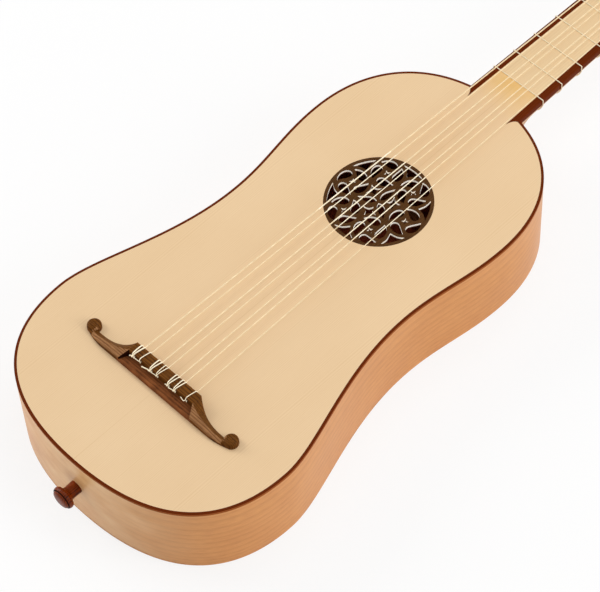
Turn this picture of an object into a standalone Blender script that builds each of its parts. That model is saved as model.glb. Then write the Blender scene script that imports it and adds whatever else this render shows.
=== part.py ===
"""A renaissance guitar with four courses, lying on its flat back.

Metres. +Z is up, +Y runs along the centre line to the head, +X is the treble side.
The origin is the middle of the flat back. Distances named "from the tail" are measured
along the centre line from the tail end of the body, and those "from the top" from the
body's neck end.
"""
import math

import bmesh
import bpy
from mathutils import Matrix, Vector

# Body: the outline's length, depth and widest and narrowest places, as half widths
BODY_LENGTH = 0.372
BODY_DEPTH = 0.061
LOWER_BOUT = 0.0995
LOWER_BOUT_FROM_TAIL = 0.0815
WAIST = 0.074
WAIST_FROM_TAIL = 0.2065
UPPER_BOUT = 0.0825
UPPER_BOUT_FROM_TOP = 0.0835

# Reach of the outline's curve handles, from each of those places
TAIL_REACH = 0.0765
LOWER_REACH_BACK = 0.044
LOWER_REACH_ON = 0.0285
WAIST_REACH_BACK = 0.0535
WAIST_REACH_ON = 0.031
UPPER_REACH_BACK = 0.0315
UPPER_REACH_ON = 0.0575
TOP_REACH = 0.043

# Thickness of the wood
SOUNDBOARD_THICKNESS = 0.0018
BACK_THICKNESS = 0.002
RIB_THICKNESS = 0.0018
BINDING_WIDTH = 0.0018
BINDING_DEPTH = 0.0021

# Inside the body
TAIL_BLOCK_HALF_WIDTH = 0.020
TAIL_BLOCK_THICKNESS = 0.014
NECK_BLOCK_HALF_WIDTH = 0.028
NECK_BLOCK_THICKNESS = 0.024
LINING_WIDTH = 0.004
LINING_HEIGHT = 0.006
BAR_WIDTH = 0.006
BAR_HEIGHT = 0.011
BAR_END_HEIGHT = 0.004
BAR_END_LENGTH = 0.018
SOUNDBOARD_BAR_FROM_ROSE = 0.046
LOWER_BACK_BAR_FROM_TAIL = 0.085
MIDDLE_BACK_BAR_FROM_TAIL = 0.195
UPPER_BACK_BAR_FROM_TOP = 0.077

# Rose: a brown face on a pale core that reaches under the soundboard. Six whorls of four
# commas stand round three leaves and three stars, with a corner opening between each two
ROSE_FROM_TOP = 0.1105
ROSE_RADIUS = 0.035
ROSE_FACE_THICKNESS = 0.0005
ROSE_BACKING_OVERLAP = 0.003
ROSE_BACKING_THICKNESS = 0.0006
ROSE_RIM = 0.0022
ROSE_WEB = 0.0025
ROSE_CORNER_ROOM = 1.2
ROSE_WHORLS = 6
ROSE_WHORL_STAR_RADIUS = 0.0021
ROSE_CENTRE_LEAVES = 3
ROSE_LEAF_START = 0.0012
ROSE_LEAF_END = 0.0139
ROSE_LEAF_WIDTH = 0.004
ROSE_LEAF_LEAN = 0.0011
ROSE_STAR_FROM_CENTRE = 0.0096
ROSE_STAR_REACH_OUT = 0.0042
ROSE_STAR_REACH_ACROSS = 0.0051

# A comma's outline: the distance from its whorl's centre as a share of the whorl's radius,
# and the angle in degrees
COMMA = ((0.97, -4), (0.67, 9), (0.5, 30), (0.46, 55), (0.62, 71), (0.88, 64), (0.99, 44), (0.99, 14))

# Strings and frets
STRING_LENGTH = 0.554
LAST_FRET_FROM_BODY = 0.0199
STRING_SPAN_AT_BRIDGE = 0.0456
STRING_SPAN_AT_NUT = 0.0264
PAIR_TO_COURSE_GAP = 0.57
STRING_HEIGHT_AT_NUT = 0.0016
STRING_RADII = (0.00042, 0.00030, 0.00038, 0.00028, 0.00034, 0.00034, 0.00027)
FRET_COUNT = 10
FIRST_FRET_RADIUS = 0.00045
LAST_FRET_RADIUS = 0.00036
FRET_SLACK_BEHIND_NECK = 0.00022

# Bridge: a bar and a ledge behind it, between two arms with a ridge that end in scrolls
BRIDGE_BAR_HALF_LENGTH = 0.0277
BRIDGE_BAR_DEPTH = 0.0074
BRIDGE_BAR_HEIGHT = 0.009
BRIDGE_HOLE_HEIGHT = 0.007
BRIDGE_LEDGE_DEPTH = 0.0068
BRIDGE_LEDGE_HEIGHT = 0.003
BRIDGE_STEP_SLOPE = 0.0002
BRIDGE_POCKET_END_SLOPE = 0.0003
BRIDGE_POCKET_END_SLANT = 0.0035
BRIDGE_ARM_NARROW_X = 0.0539
BRIDGE_ARM_WIDTH = 0.0061
BRIDGE_ARM_CURVE = 2.55
BRIDGE_ARM_BACK_RISE = 0.0024
BRIDGE_ARM_BACK_RISE_FROM = 0.5
BRIDGE_ARM_FRONT_HEIGHT = 0.0016
BRIDGE_ARM_FRONT_FALL = 4.0
BRIDGE_ARM_RIDGE_SHARE = 0.6
BRIDGE_ARM_RIDGE_END_HEIGHT = 0.0038
BRIDGE_ARM_BACK_HEIGHT = 0.004
BRIDGE_ARM_BACK_END_HEIGHT = 0.0018
BRIDGE_SCROLL_X = 0.0598
BRIDGE_SCROLL_FORWARD = 0.0071
BRIDGE_SCROLL_RADIUS = 0.00465
BRIDGE_SCROLL_HEIGHT = 0.0043

# Neck, fingerboard and nut
NECK_WIDTH_AT_BODY = 0.0424
NECK_WIDTH_AT_NUT = 0.0334
NECK_DEPTH_AT_BODY = 0.021
NECK_DEPTH_AT_NUT = 0.0165
HEEL_LENGTH = 0.015
HEEL_LIFT = 0.0025
NECK_SIDE_LEAN = math.radians(16)
EDGE_STRIP_WIDTH = 0.0047
EDGE_STRIP_DEPTH = 0.0045
EDGE_STRIP_TIP_LENGTH = 0.0085
EDGE_STRIP_TIP_WIDTH = 0.0004
NUT_THICKNESS = 0.0045
NUT_ABOVE_BOARD = 0.0024

# Peghead, in its own tilted frame
HEAD_TILT = math.radians(7.0)
HEAD_DROP = 0.001
HEAD_LENGTH = 0.128
HEAD_THICKNESS = 0.013
VENEER_THICKNESS = 0.0012
HEAD_SHOULDER = 0.014
HEAD_HALF_WIDTH = 0.0245
HEAD_END_HALF_WIDTH = 0.0265
HEAD_END_CURVE = 0.014

# Pegs
PEG_FROM_CENTRE = 0.017
FIRST_PEG_FROM_NUT = 0.024
PEG_SPACING = 0.024
BASS_PEGS = 4
PEG_RADIUS = 0.003
PEG_TAPER = 0.02
PEG_ABOVE_FACE = 0.009
PEG_COLLAR_RADIUS = 0.0052
PEG_COLLAR_LENGTH = 0.0022
PEG_STEM_RADIUS = 0.0031
PEG_STEM_LENGTH = 0.0045
PEG_GRIP_HALF_WIDTH = 0.0088
PEG_GRIP_HALF_THICKNESS = 0.0033
PEG_GRIP_LENGTH = 0.0165
WINDING_HEIGHT = 0.0035
WINDING_TURNS = 2
WINDING_TURN_GAP = 0.00048

# End pin
END_PIN_HEIGHT = 0.0313
END_PIN_SHAFT_RADIUS = 0.0045
END_PIN_EXPOSED = 0.0083
END_PIN_HEAD_RADIUS = 0.0078
END_PIN_HEAD_LENGTH = 0.006
END_PIN_FACE_RADIUS = 0.0052
END_PIN_DEPTH = 0.013

# Fit: the gap kept between pieces, and how finely curves are divided
GAP = 0.0003
OUTLINE_STEPS = 11
ROUND_STEPS = 16
ARM_STEPS = 7
STRING_HOLE_STEPS = 8
FRET_STEPS = 6
PEG_STEPS = 12
WINDING_STEPS = 24
CUT_OVERRUN = 0.002
SHARP_ANGLE = math.radians(35)

TOP = BODY_DEPTH
TAIL_Y = -BODY_LENGTH / 2
TOP_Y = BODY_LENGTH / 2
ROSE_Y = TOP_Y - ROSE_FROM_TOP
LAST_FRET_Y = TOP_Y + LAST_FRET_FROM_BODY
BRIDGE_Y = LAST_FRET_Y - STRING_LENGTH / 2 ** (FRET_COUNT / 12)
UPPER_BOUT_FROM_TAIL = BODY_LENGTH - UPPER_BOUT_FROM_TOP
NUT_Y = BRIDGE_Y + STRING_LENGTH
NUT_BACK_Y = NUT_Y + NUT_THICKNESS
NECK_ROOT_Y = TOP_Y + GAP
WOOD_UNDER_BOARD = TOP - SOUNDBOARD_THICKNESS - GAP
WOOD_UNDER_STRIPS = TOP - EDGE_STRIP_DEPTH - GAP
HEAD_STACK = VENEER_THICKNESS + GAP + HEAD_THICKNESS
LINING_INSET = max(RIB_THICKNESS, BINDING_WIDTH) + GAP
INSIDE_INSET = LINING_INSET + LINING_WIDTH + GAP


def clear_scene():
    for old in list(bpy.data.objects):
        bpy.data.objects.remove(old, do_unlink=True)


def material(name, colour, roughness, metallic=0.0):
    made = bpy.data.materials.new(name)
    made.use_nodes = True
    shader = made.node_tree.nodes["Principled BSDF"]
    shader.inputs["Base Color"].default_value = (*colour, 1.0)
    shader.inputs["Roughness"].default_value = roughness
    shader.inputs["Metallic"].default_value = metallic
    return made


def make_materials():
    return {
        "spruce": material("spruce", (0.82, 0.60, 0.35), 0.45),
        "rib_maple": material("rib_maple", (0.55, 0.32, 0.14), 0.38),
        "inner_wood": material("inner_wood", (0.70, 0.50, 0.30), 0.70),
        "neck_wood": material("neck_wood", (0.72, 0.50, 0.28), 0.42),
        "fingerboard_wood": material("fingerboard_wood", (0.78, 0.60, 0.40), 0.45),
        "dark_wood": material("dark_wood", (0.10, 0.02, 0.008), 0.35),
        "walnut": material("walnut", (0.09, 0.035, 0.015), 0.50),
        "rose_brown": material("rose_brown", (0.10, 0.035, 0.015), 0.55),
        "parchment": material("parchment", (0.80, 0.62, 0.42), 0.70),
        "pin_wood": material("pin_wood", (0.16, 0.035, 0.012), 0.20),
        "peg_wood": material("peg_wood", (0.05, 0.02, 0.01), 0.30),
        "bone": material("bone", (0.85, 0.78, 0.62), 0.35),
        "gut": material("gut", (0.86, 0.70, 0.45), 0.40),
    }


def add_object(name, mesh, look, parent=None):
    made = bpy.data.objects.new(name, mesh)
    made.data.materials.append(look)
    bpy.context.scene.collection.objects.link(made)
    made.parent = parent
    return made


def finished_mesh(bm, name):
    """Turn the bmesh into a mesh with its faces pointing out, smooth across gentle edges."""
    bmesh.ops.recalc_face_normals(bm, faces=bm.faces)
    mesh = bpy.data.meshes.new(name)
    bm.to_mesh(mesh)
    bm.free()
    mesh.shade_smooth()
    mesh.set_sharp_from_angle(angle=SHARP_ANGLE)
    return mesh


def prism(name, outline, along):
    """Extrude a flat polygon of 3D points by a vector."""
    bm = bmesh.new()
    near = [bm.verts.new(point) for point in outline]
    far = [bm.verts.new(Vector(point) + Vector(along)) for point in outline]
    bm.faces.new(near)
    bm.faces.new(far)
    count = len(outline)
    for i in range(count):
        j = (i + 1) % count
        bm.faces.new((near[i], near[j], far[j], far[i]))
    return finished_mesh(bm, name)


def plate(name, outline, bottom, top):
    """Extrude an outline of x, y points between two heights."""
    return prism(name, [(x, y, bottom) for x, y in outline], (0, 0, top - bottom))


def loft(name, sections, closed=False):
    """Join rings of 3D points one after another, capped at both ends."""
    bm = bmesh.new()
    add_loft(bm, sections, closed)
    return finished_mesh(bm, name)


def add_loft(bm, sections, closed=False):
    rings = [[bm.verts.new(point) for point in section] for section in sections]
    pairs = list(zip(rings, rings[1:]))
    if closed:
        pairs.append((rings[-1], rings[0]))
    size = len(rings[0])
    for near, far in pairs:
        for i in range(size):
            j = (i + 1) % size
            bm.faces.new((near[i], near[j], far[j], far[i]))
    if not closed:
        bm.faces.new(rings[0])
        bm.faces.new(rings[-1])


def ring_points(radius_x, radius_y, height, steps, centre=(0.0, 0.0)):
    points = []
    for i in range(steps):
        angle = 2 * math.pi * i / steps
        points.append((centre[0] + radius_x * math.cos(angle),
                       centre[1] + radius_y * math.sin(angle), height))
    return points


def turned(name, profile, steps):
    """Turn a profile of (height, radius) or (height, radius_x, radius_y) around Z."""
    sections = []
    for height, radius_x, *rest in profile:
        radius_y = rest[0] if rest else radius_x
        sections.append(ring_points(radius_x, radius_y, height, steps))
    return loft(name, sections)


def cut(target, cutter):
    modifier = target.modifiers.new("cut_" + cutter.name, "BOOLEAN")
    modifier.operation = "DIFFERENCE"
    modifier.object = cutter


def unite(target, helper):
    modifier = target.modifiers.new("with_" + helper.name, "BOOLEAN")
    modifier.operation = "UNION"
    modifier.object = helper


def helper_object(name, mesh, parent=None):
    made = bpy.data.objects.new(name, mesh)
    made.hide_render = True
    made.display_type = "WIRE"
    bpy.context.scene.collection.objects.link(made)
    made.parent = parent
    return made


def mirrored(points, side):
    """The same points on the treble side (1) or the bass side (-1)."""
    return [(side * point[0], *point[1:]) for point in points]


def bezier(points, t):
    a, b, c, d = (Vector(point) for point in points)
    s = 1 - t
    return a * s ** 3 + b * 3 * s * s * t + c * 3 * s * t * t + d * t ** 3


OUTLINE_CURVES = (
    ((0, 0), (TAIL_REACH, 0),
     (LOWER_BOUT, LOWER_BOUT_FROM_TAIL - LOWER_REACH_BACK), (LOWER_BOUT, LOWER_BOUT_FROM_TAIL)),
    ((LOWER_BOUT, LOWER_BOUT_FROM_TAIL), (LOWER_BOUT, LOWER_BOUT_FROM_TAIL + LOWER_REACH_ON),
     (WAIST, WAIST_FROM_TAIL - WAIST_REACH_BACK), (WAIST, WAIST_FROM_TAIL)),
    ((WAIST, WAIST_FROM_TAIL), (WAIST, WAIST_FROM_TAIL + WAIST_REACH_ON),
     (UPPER_BOUT, UPPER_BOUT_FROM_TAIL - UPPER_REACH_BACK), (UPPER_BOUT, UPPER_BOUT_FROM_TAIL)),
    ((UPPER_BOUT, UPPER_BOUT_FROM_TAIL), (UPPER_BOUT, UPPER_BOUT_FROM_TAIL + UPPER_REACH_ON),
     (TOP_REACH, BODY_LENGTH), (0, BODY_LENGTH)),
)
OUTLINE_END = float(len(OUTLINE_CURVES))


def curve_point(t, inset):
    """A point of the treble half outline's curve, t from 0 at the tail to 4 at the neck."""
    index = min(int(t), len(OUTLINE_CURVES) - 1)
    local = t - index
    curve = OUTLINE_CURVES[index]
    place = bezier(curve, local)
    step = 0.001
    ahead = bezier(curve, min(local + step, 1.0))
    behind = bezier(curve, max(local - step, 0.0))
    along = (ahead - behind).normalized()
    inward = Vector((-along.y, along.x))
    x = place.x + inward.x * inset
    y = place.y + inward.y * inset + TAIL_Y
    if t <= 0.0:
        return (0.0, TAIL_Y + inset)
    if t >= OUTLINE_END:
        return (0.0, TOP_Y - inset)
    return (x, y)


def outline_point(t, inset=0.0):
    """A point of the half outline as built, in the straight steps that all its pieces share."""
    step = min(int(t * OUTLINE_STEPS), int(OUTLINE_END) * OUTLINE_STEPS - 1)
    share = t * OUTLINE_STEPS - step
    x0, y0 = curve_point(step / OUTLINE_STEPS, inset)
    x1, y1 = curve_point((step + 1) / OUTLINE_STEPS, inset)
    return (x0 + (x1 - x0) * share, y0 + (y1 - y0) * share)


def outline_place(half_width, inset, low, high):
    """The t between low and high where the inset outline is half_width from the centre."""
    rising = outline_point(high, inset)[0] > outline_point(low, inset)[0]
    for _ in range(50):
        middle = (low + high) / 2
        if (outline_point(middle, inset)[0] < half_width) == rising:
            low = middle
        else:
            high = middle
    return (low + high) / 2


def outline_stations(start=0.0, end=OUTLINE_END):
    grid = [i / OUTLINE_STEPS for i in range(int(OUTLINE_END) * OUTLINE_STEPS + 1)]
    margin = 0.3 / OUTLINE_STEPS
    return [start] + [t for t in grid if start + margin < t < end - margin] + [end]


def outline_line(inset, start=0.0, end=OUTLINE_END):
    return [outline_point(t, inset) for t in outline_stations(start, end)]


def body_outline(inset):
    """The whole outline of the body, both sides."""
    half = outline_line(inset)
    return half + mirrored(half[1:-1], -1)[::-1]


def half_width_at(y, inset):
    """Half width inside the inset outline at a place on the centre line."""
    line = outline_line(inset)
    for (x0, y0), (x1, y1) in zip(line, line[1:]):
        if y0 <= y <= y1:
            return x0 + (x1 - x0) * (y - y0) / (y1 - y0)
    return 0.0


def body_top_y(x):
    """Where the outline's neck end lies, at a distance from the centre line."""
    return outline_point(outline_place(abs(x), 0.0, OUTLINE_END - 1, OUTLINE_END))[1]


def neck_half_width(y):
    share = (y - NECK_ROOT_Y) / (NUT_Y - NECK_ROOT_Y)
    return (NECK_WIDTH_AT_BODY + (NECK_WIDTH_AT_NUT - NECK_WIDTH_AT_BODY) * share) / 2


def board_half_width(y):
    """Half width between the dark edge strips."""
    return neck_half_width(y) - EDGE_STRIP_WIDTH


def fret_y(number):
    return BRIDGE_Y + STRING_LENGTH / 2 ** (number / 12)


STRIP_JUNCTION_Y = body_top_y(NECK_WIDTH_AT_BODY / 2) - BINDING_WIDTH
STRIP_TIP_Y = STRIP_JUNCTION_Y + BINDING_WIDTH - EDGE_STRIP_TIP_LENGTH
BINDING_END_X = neck_half_width(STRIP_TIP_Y) + GAP


def tip_curve(outward=0.0, steps=5):
    """The hollow curve from an edge strip's blunt tip out to the binding."""
    tip = Vector((board_half_width(STRIP_TIP_Y) + EDGE_STRIP_TIP_WIDTH, STRIP_TIP_Y))
    junction = Vector((neck_half_width(STRIP_JUNCTION_Y), STRIP_JUNCTION_Y))
    bend = Vector((tip.x + 0.3 * (junction.x - tip.x), junction.y - 0.1 * (junction.y - tip.y)))
    line = []
    for i in range(steps + 1):
        t = i / steps
        place = tip * (1 - t) ** 2 + bend * 2 * t * (1 - t) + junction * t * t
        along = ((bend - tip) * (1 - t) + (junction - bend) * t).normalized()
        line.append((place.x + along.y * outward, place.y - along.x * outward))
    return line


def rose_edge(radius, start, end, steps=20):
    """Points of a circle round the rose's centre, on the treble side."""
    points = []
    for i in range(steps + 1):
        angle = math.radians(start + (end - start) * i / steps)
        x = radius * math.sin(angle)
        if i in (0, steps):
            x = 0.0
        points.append((x, ROSE_Y + radius * math.cos(angle)))
    return points


def make_soundboard(looks):
    inset = BINDING_WIDTH + GAP
    near_neck = outline_place(neck_half_width(STRIP_JUNCTION_Y) + GAP, inset,
                              OUTLINE_END - 1, OUTLINE_END)
    outline = outline_line(inset, 0.0, near_neck)
    outline += [point for point in reversed(tip_curve(GAP)) if point[1] < outline[-1][1] - GAP]
    tongue_end = LAST_FRET_Y - GAP / 2
    outline.append((board_half_width(STRIP_TIP_Y) + EDGE_STRIP_TIP_WIDTH, STRIP_TIP_Y - GAP))
    outline.append((board_half_width(STRIP_TIP_Y) - GAP, STRIP_TIP_Y - GAP))
    outline.append((board_half_width(tongue_end) - GAP, tongue_end))
    outline.append((0.0, tongue_end))
    outline += rose_edge(ROSE_RADIUS + GAP, 0, 180)
    bottom = TOP - SOUNDBOARD_THICKNESS
    for side, name in ((-1, "soundboard_bass"), (1, "soundboard_treble")):
        mesh = plate(name, mirrored(outline, side), bottom, TOP)
        add_object(name, mesh, looks["spruce"])


def strip_between(name, insets, heights, ends, side, look):
    """A bent strip with a rectangular section that follows the outline.

    insets are its outer and inner distance from the outline, heights its bottom and top,
    and ends its start and then the ends of its outer and its inner edge.
    """
    start, outer_end, inner_end = ends
    bottom, top = heights
    stations = outline_stations(start, outer_end)
    sections = []
    for t in stations:
        outer_x, outer_y = outline_point(t, insets[0])
        inner_x, inner_y = outline_point(inner_end if t == outer_end else t, insets[1])
        sections.append([(side * outer_x, outer_y, bottom), (side * outer_x, outer_y, top),
                         (side * inner_x, inner_y, top), (side * inner_x, inner_y, bottom)])
    return add_object(name, loft(name, sections), look)


def make_sides(looks, pin_hole):
    rib_bottom = BACK_THICKNESS + GAP
    rib_top = TOP - BINDING_DEPTH - GAP
    binding_ends = [outline_place(BINDING_END_X, inset, OUTLINE_END - 1, OUTLINE_END)
                    for inset in (0.0, BINDING_WIDTH)]
    for side, end in ((-1, "bass"), (1, "treble")):
        rib = strip_between("rib_" + end, (0.0, RIB_THICKNESS), (rib_bottom, rib_top),
                            (0.0, OUTLINE_END, OUTLINE_END), side, looks["rib_maple"])
        cut(rib, pin_hole)
        strip_between("binding_" + end, (0.0, BINDING_WIDTH), (TOP - BINDING_DEPTH, TOP),
                      (0.0, *binding_ends), side, looks["dark_wood"])


def make_back(looks):
    add_object("back", plate("back", body_outline(0.0), 0.0, BACK_THICKNESS), looks["rib_maple"])


def make_linings(looks):
    start = outline_place(TAIL_BLOCK_HALF_WIDTH + GAP, LINING_INSET + LINING_WIDTH, 0.0, 1.0)
    end = outline_place(NECK_BLOCK_HALF_WIDTH + GAP, LINING_INSET + LINING_WIDTH,
                        OUTLINE_END - 1, OUTLINE_END)
    back_face = BACK_THICKNESS + GAP
    for plate_name, bottom in (("soundboard", WOOD_UNDER_BOARD - LINING_HEIGHT), ("back", back_face)):
        for side, end_name in ((-1, "bass"), (1, "treble")):
            strip_between("%s_lining_%s" % (plate_name, end_name),
                          (LINING_INSET, LINING_INSET + LINING_WIDTH),
                          (bottom, bottom + LINING_HEIGHT), (start, end, end), side,
                          looks["inner_wood"])


def block_outline(half_width, low, high, flat_y):
    """A block's plan: it follows the rib's inner face and is flat toward the soundbox."""
    edge = outline_place(half_width, LINING_INSET, low, high)
    start, end = (edge, high) if high == OUTLINE_END else (low, edge)
    line = outline_line(LINING_INSET, start, end)
    if high == OUTLINE_END:
        line = line[::-1]
    both = mirrored(line[1:], -1)[::-1] + line
    return both + [(half_width, flat_y), (-half_width, flat_y)]


def make_blocks(looks, pin_hole):
    bottom = BACK_THICKNESS + GAP
    top = WOOD_UNDER_BOARD
    tail_flat = TAIL_Y + LINING_INSET + TAIL_BLOCK_THICKNESS
    outline = block_outline(TAIL_BLOCK_HALF_WIDTH, 0.0, 1.0, tail_flat)
    tail = add_object("tail_block", plate("tail_block", outline, bottom, top), looks["inner_wood"])
    cut(tail, pin_hole)
    neck_flat = TOP_Y - LINING_INSET - NECK_BLOCK_THICKNESS
    outline = block_outline(NECK_BLOCK_HALF_WIDTH, OUTLINE_END - 1, OUTLINE_END, neck_flat)
    add_object("neck_block", plate("neck_block", outline, bottom, top), looks["inner_wood"])


def bar(name, y, seat, direction, looks):
    """A brace across the body, glued to the plate at height seat and standing up or down."""
    near = y - BAR_WIDTH / 2
    reach = min(half_width_at(near, INSIDE_INSET), half_width_at(near + BAR_WIDTH, INSIDE_INSET))
    end = seat + direction * BAR_END_HEIGHT
    full = seat + direction * BAR_HEIGHT
    inner = reach - BAR_END_LENGTH
    outline = [(-reach, seat), (-reach, end), (-inner, full), (inner, full), (reach, end), (reach, seat)]
    mesh = prism(name, [(x, near, z) for x, z in outline], (0, BAR_WIDTH, 0))
    add_object(name, mesh, looks["inner_wood"])


def make_bars(looks):
    for name, offset in (("soundboard_bar_lower", -SOUNDBOARD_BAR_FROM_ROSE),
                         ("soundboard_bar_upper", SOUNDBOARD_BAR_FROM_ROSE)):
        bar(name, ROSE_Y + offset, WOOD_UNDER_BOARD, -1, looks)
    places = (TAIL_Y + LOWER_BACK_BAR_FROM_TAIL, TAIL_Y + MIDDLE_BACK_BAR_FROM_TAIL,
              TOP_Y - UPPER_BACK_BAR_FROM_TOP)
    for number, y in enumerate(places, 1):
        bar("back_bar_%d" % number, y, BACK_THICKNESS + GAP, 1, looks)


def polar(distance, angle, centre=(0.0, 0.0)):
    """A point in the rose's plane; angles run clockwise from the centre line."""
    return (centre[0] + distance * math.sin(angle), centre[1] + distance * math.cos(angle))


def comma(centre, radius, heading):
    """A comma-shaped opening that curls round a whorl's centre."""
    return [polar(radius * share, heading + math.radians(turn), centre) for share, turn in COMMA]


def star(centre, angle, reach_along, reach_across):
    """An opening with four points and sides that are drawn in."""
    hollow = 0.25 * (reach_along + reach_across)
    points = []
    for i in range(8):
        reach = (reach_along, hollow, reach_across, hollow)[i % 4]
        points.append(polar(reach, angle + i * math.pi / 4, centre))
    return points


def leaf(centre_angle, steps=4):
    """A leaf-shaped opening, widest near the rose's centre and pointed at its outer end."""
    sides = []
    for side in (1, -1):
        line = []
        for i in range(steps + 1):
            t = i / steps
            radius = ROSE_LEAF_START + (ROSE_LEAF_END - ROSE_LEAF_START) * t
            bulge = ROSE_LEAF_WIDTH / 2 * math.sin(math.pi * t ** 0.7) if 0 < t < 1 else 0.0
            line.append(polar(radius, centre_angle + (side * bulge + ROSE_LEAF_LEAN * t * t) / radius))
        sides.append(line)
    return sides[0] + sides[1][-2:0:-1]


def corner(angle, half_step, distance, radius):
    """An opening by the rim between two whorls, whose sides keep clear of both."""
    outer = ROSE_RADIUS - ROSE_CORNER_ROOM * ROSE_RIM
    clear = radius + ROSE_CORNER_ROOM * ROSE_WEB
    beside = distance * math.sin(half_step)
    apex = distance * math.cos(half_step) + math.sqrt(clear ** 2 - beside ** 2)
    toward = (outer ** 2 + distance ** 2 - clear ** 2) / (2 * outer * distance)
    half = half_step - math.acos(toward)
    right = [polar(outer, half / 3), polar(outer, half)]
    whorl = Vector(polar(distance, half_step))
    between = (Vector(right[1]) + Vector((0.0, apex))) / 2
    side = whorl + (between - whorl).normalized() * clear
    right.append((side.x, side.y))
    shape = right + [(0.0, apex)] + mirrored(right, -1)[::-1]
    return [polar(math.hypot(x, y), math.atan2(x, y) + angle) for x, y in shape]


def rose_openings():
    half_step = math.pi / ROSE_WHORLS
    spread = 2 * math.sin(half_step)
    room = ROSE_RADIUS - ROSE_RIM
    radius = (room * spread - ROSE_WEB) / (spread + 2)
    distance = room - radius
    openings = []
    for i in range(ROSE_WHORLS):
        angle = 2 * i * half_step
        whorl = polar(distance, angle + half_step)
        for quarter in range(4):
            openings.append(comma(whorl, radius, angle + quarter * math.pi / 2))
        openings.append(star(whorl, angle, ROSE_WHORL_STAR_RADIUS, ROSE_WHORL_STAR_RADIUS))
        openings.append(corner(angle, half_step, distance, radius))
    step = 2 * math.pi / ROSE_CENTRE_LEAVES
    for i in range(ROSE_CENTRE_LEAVES):
        openings.append(leaf(i * step))
        between = (i + 0.5) * step
        openings.append(star(polar(ROSE_STAR_FROM_CENTRE, between), between,
                             ROSE_STAR_REACH_OUT, ROSE_STAR_REACH_ACROSS))
    return openings


def pierced_disc(name, radius, bottom, top, look):
    """A round plate with the rose's openings, made from a filled and extruded curve."""
    curve = bpy.data.curves.new(name, "CURVE")
    curve.dimensions = "2D"
    curve.fill_mode = "BOTH"
    curve.extrude = (top - bottom) / 2
    rim = [point[:2] for point in ring_points(radius, radius, 0.0, 3 * ROUND_STEPS)]
    for outline in [rim] + rose_openings():
        spline = curve.splines.new("POLY")
        spline.points.add(len(outline) - 1)
        for point, (x, y) in zip(spline.points, outline):
            point.co = (x, y, 0.0, 1.0)
        spline.use_cyclic_u = True
    drawn = bpy.data.objects.new(name, curve)
    bpy.context.scene.collection.objects.link(drawn)
    bm = bmesh.new()
    bm.from_mesh(drawn.to_mesh())
    bpy.data.objects.remove(drawn, do_unlink=True)
    bmesh.ops.remove_doubles(bm, verts=bm.verts, dist=0.00001)
    bmesh.ops.translate(bm, vec=(0.0, ROSE_Y, (top + bottom) / 2), verts=bm.verts)
    return add_object(name, finished_mesh(bm, name), look)


def make_rose(looks):
    face_bottom = TOP - ROSE_FACE_THICKNESS
    pierced_disc("rose_face", ROSE_RADIUS, face_bottom, TOP, looks["rose_brown"])
    under_board = TOP - SOUNDBOARD_THICKNESS - GAP
    reach = ROSE_RADIUS + ROSE_BACKING_OVERLAP
    core = pierced_disc("rose_core", reach, under_board - ROSE_BACKING_THICKNESS,
                        face_bottom - GAP, looks["parchment"])
    sections = []
    for x, y, _ in ring_points(1.0, 1.0, 0.0, 3 * ROUND_STEPS):
        sections.append([(x * radius, y * radius + ROSE_Y, z) for radius, z in (
            (ROSE_RADIUS, under_board), (ROSE_RADIUS, TOP),
            (reach + CUT_OVERRUN, TOP), (reach + CUT_OVERRUN, under_board))])
    cut(core, helper_object("rose_step", loft("rose_step", sections, closed=True)))


def string_places(span):
    """The strings across a span: three pairs on the bass side, then one single string."""
    unit = span / (3 * PAIR_TO_COURSE_GAP + 3)
    places = [-span / 2]
    for pair in range(3):
        places.append(places[-1] + unit * PAIR_TO_COURSE_GAP)
        places.append(places[-1] + unit)
    return places


BRIDGE_STRINGS = string_places(STRING_SPAN_AT_BRIDGE)
NUT_STRINGS = string_places(STRING_SPAN_AT_NUT)


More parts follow.
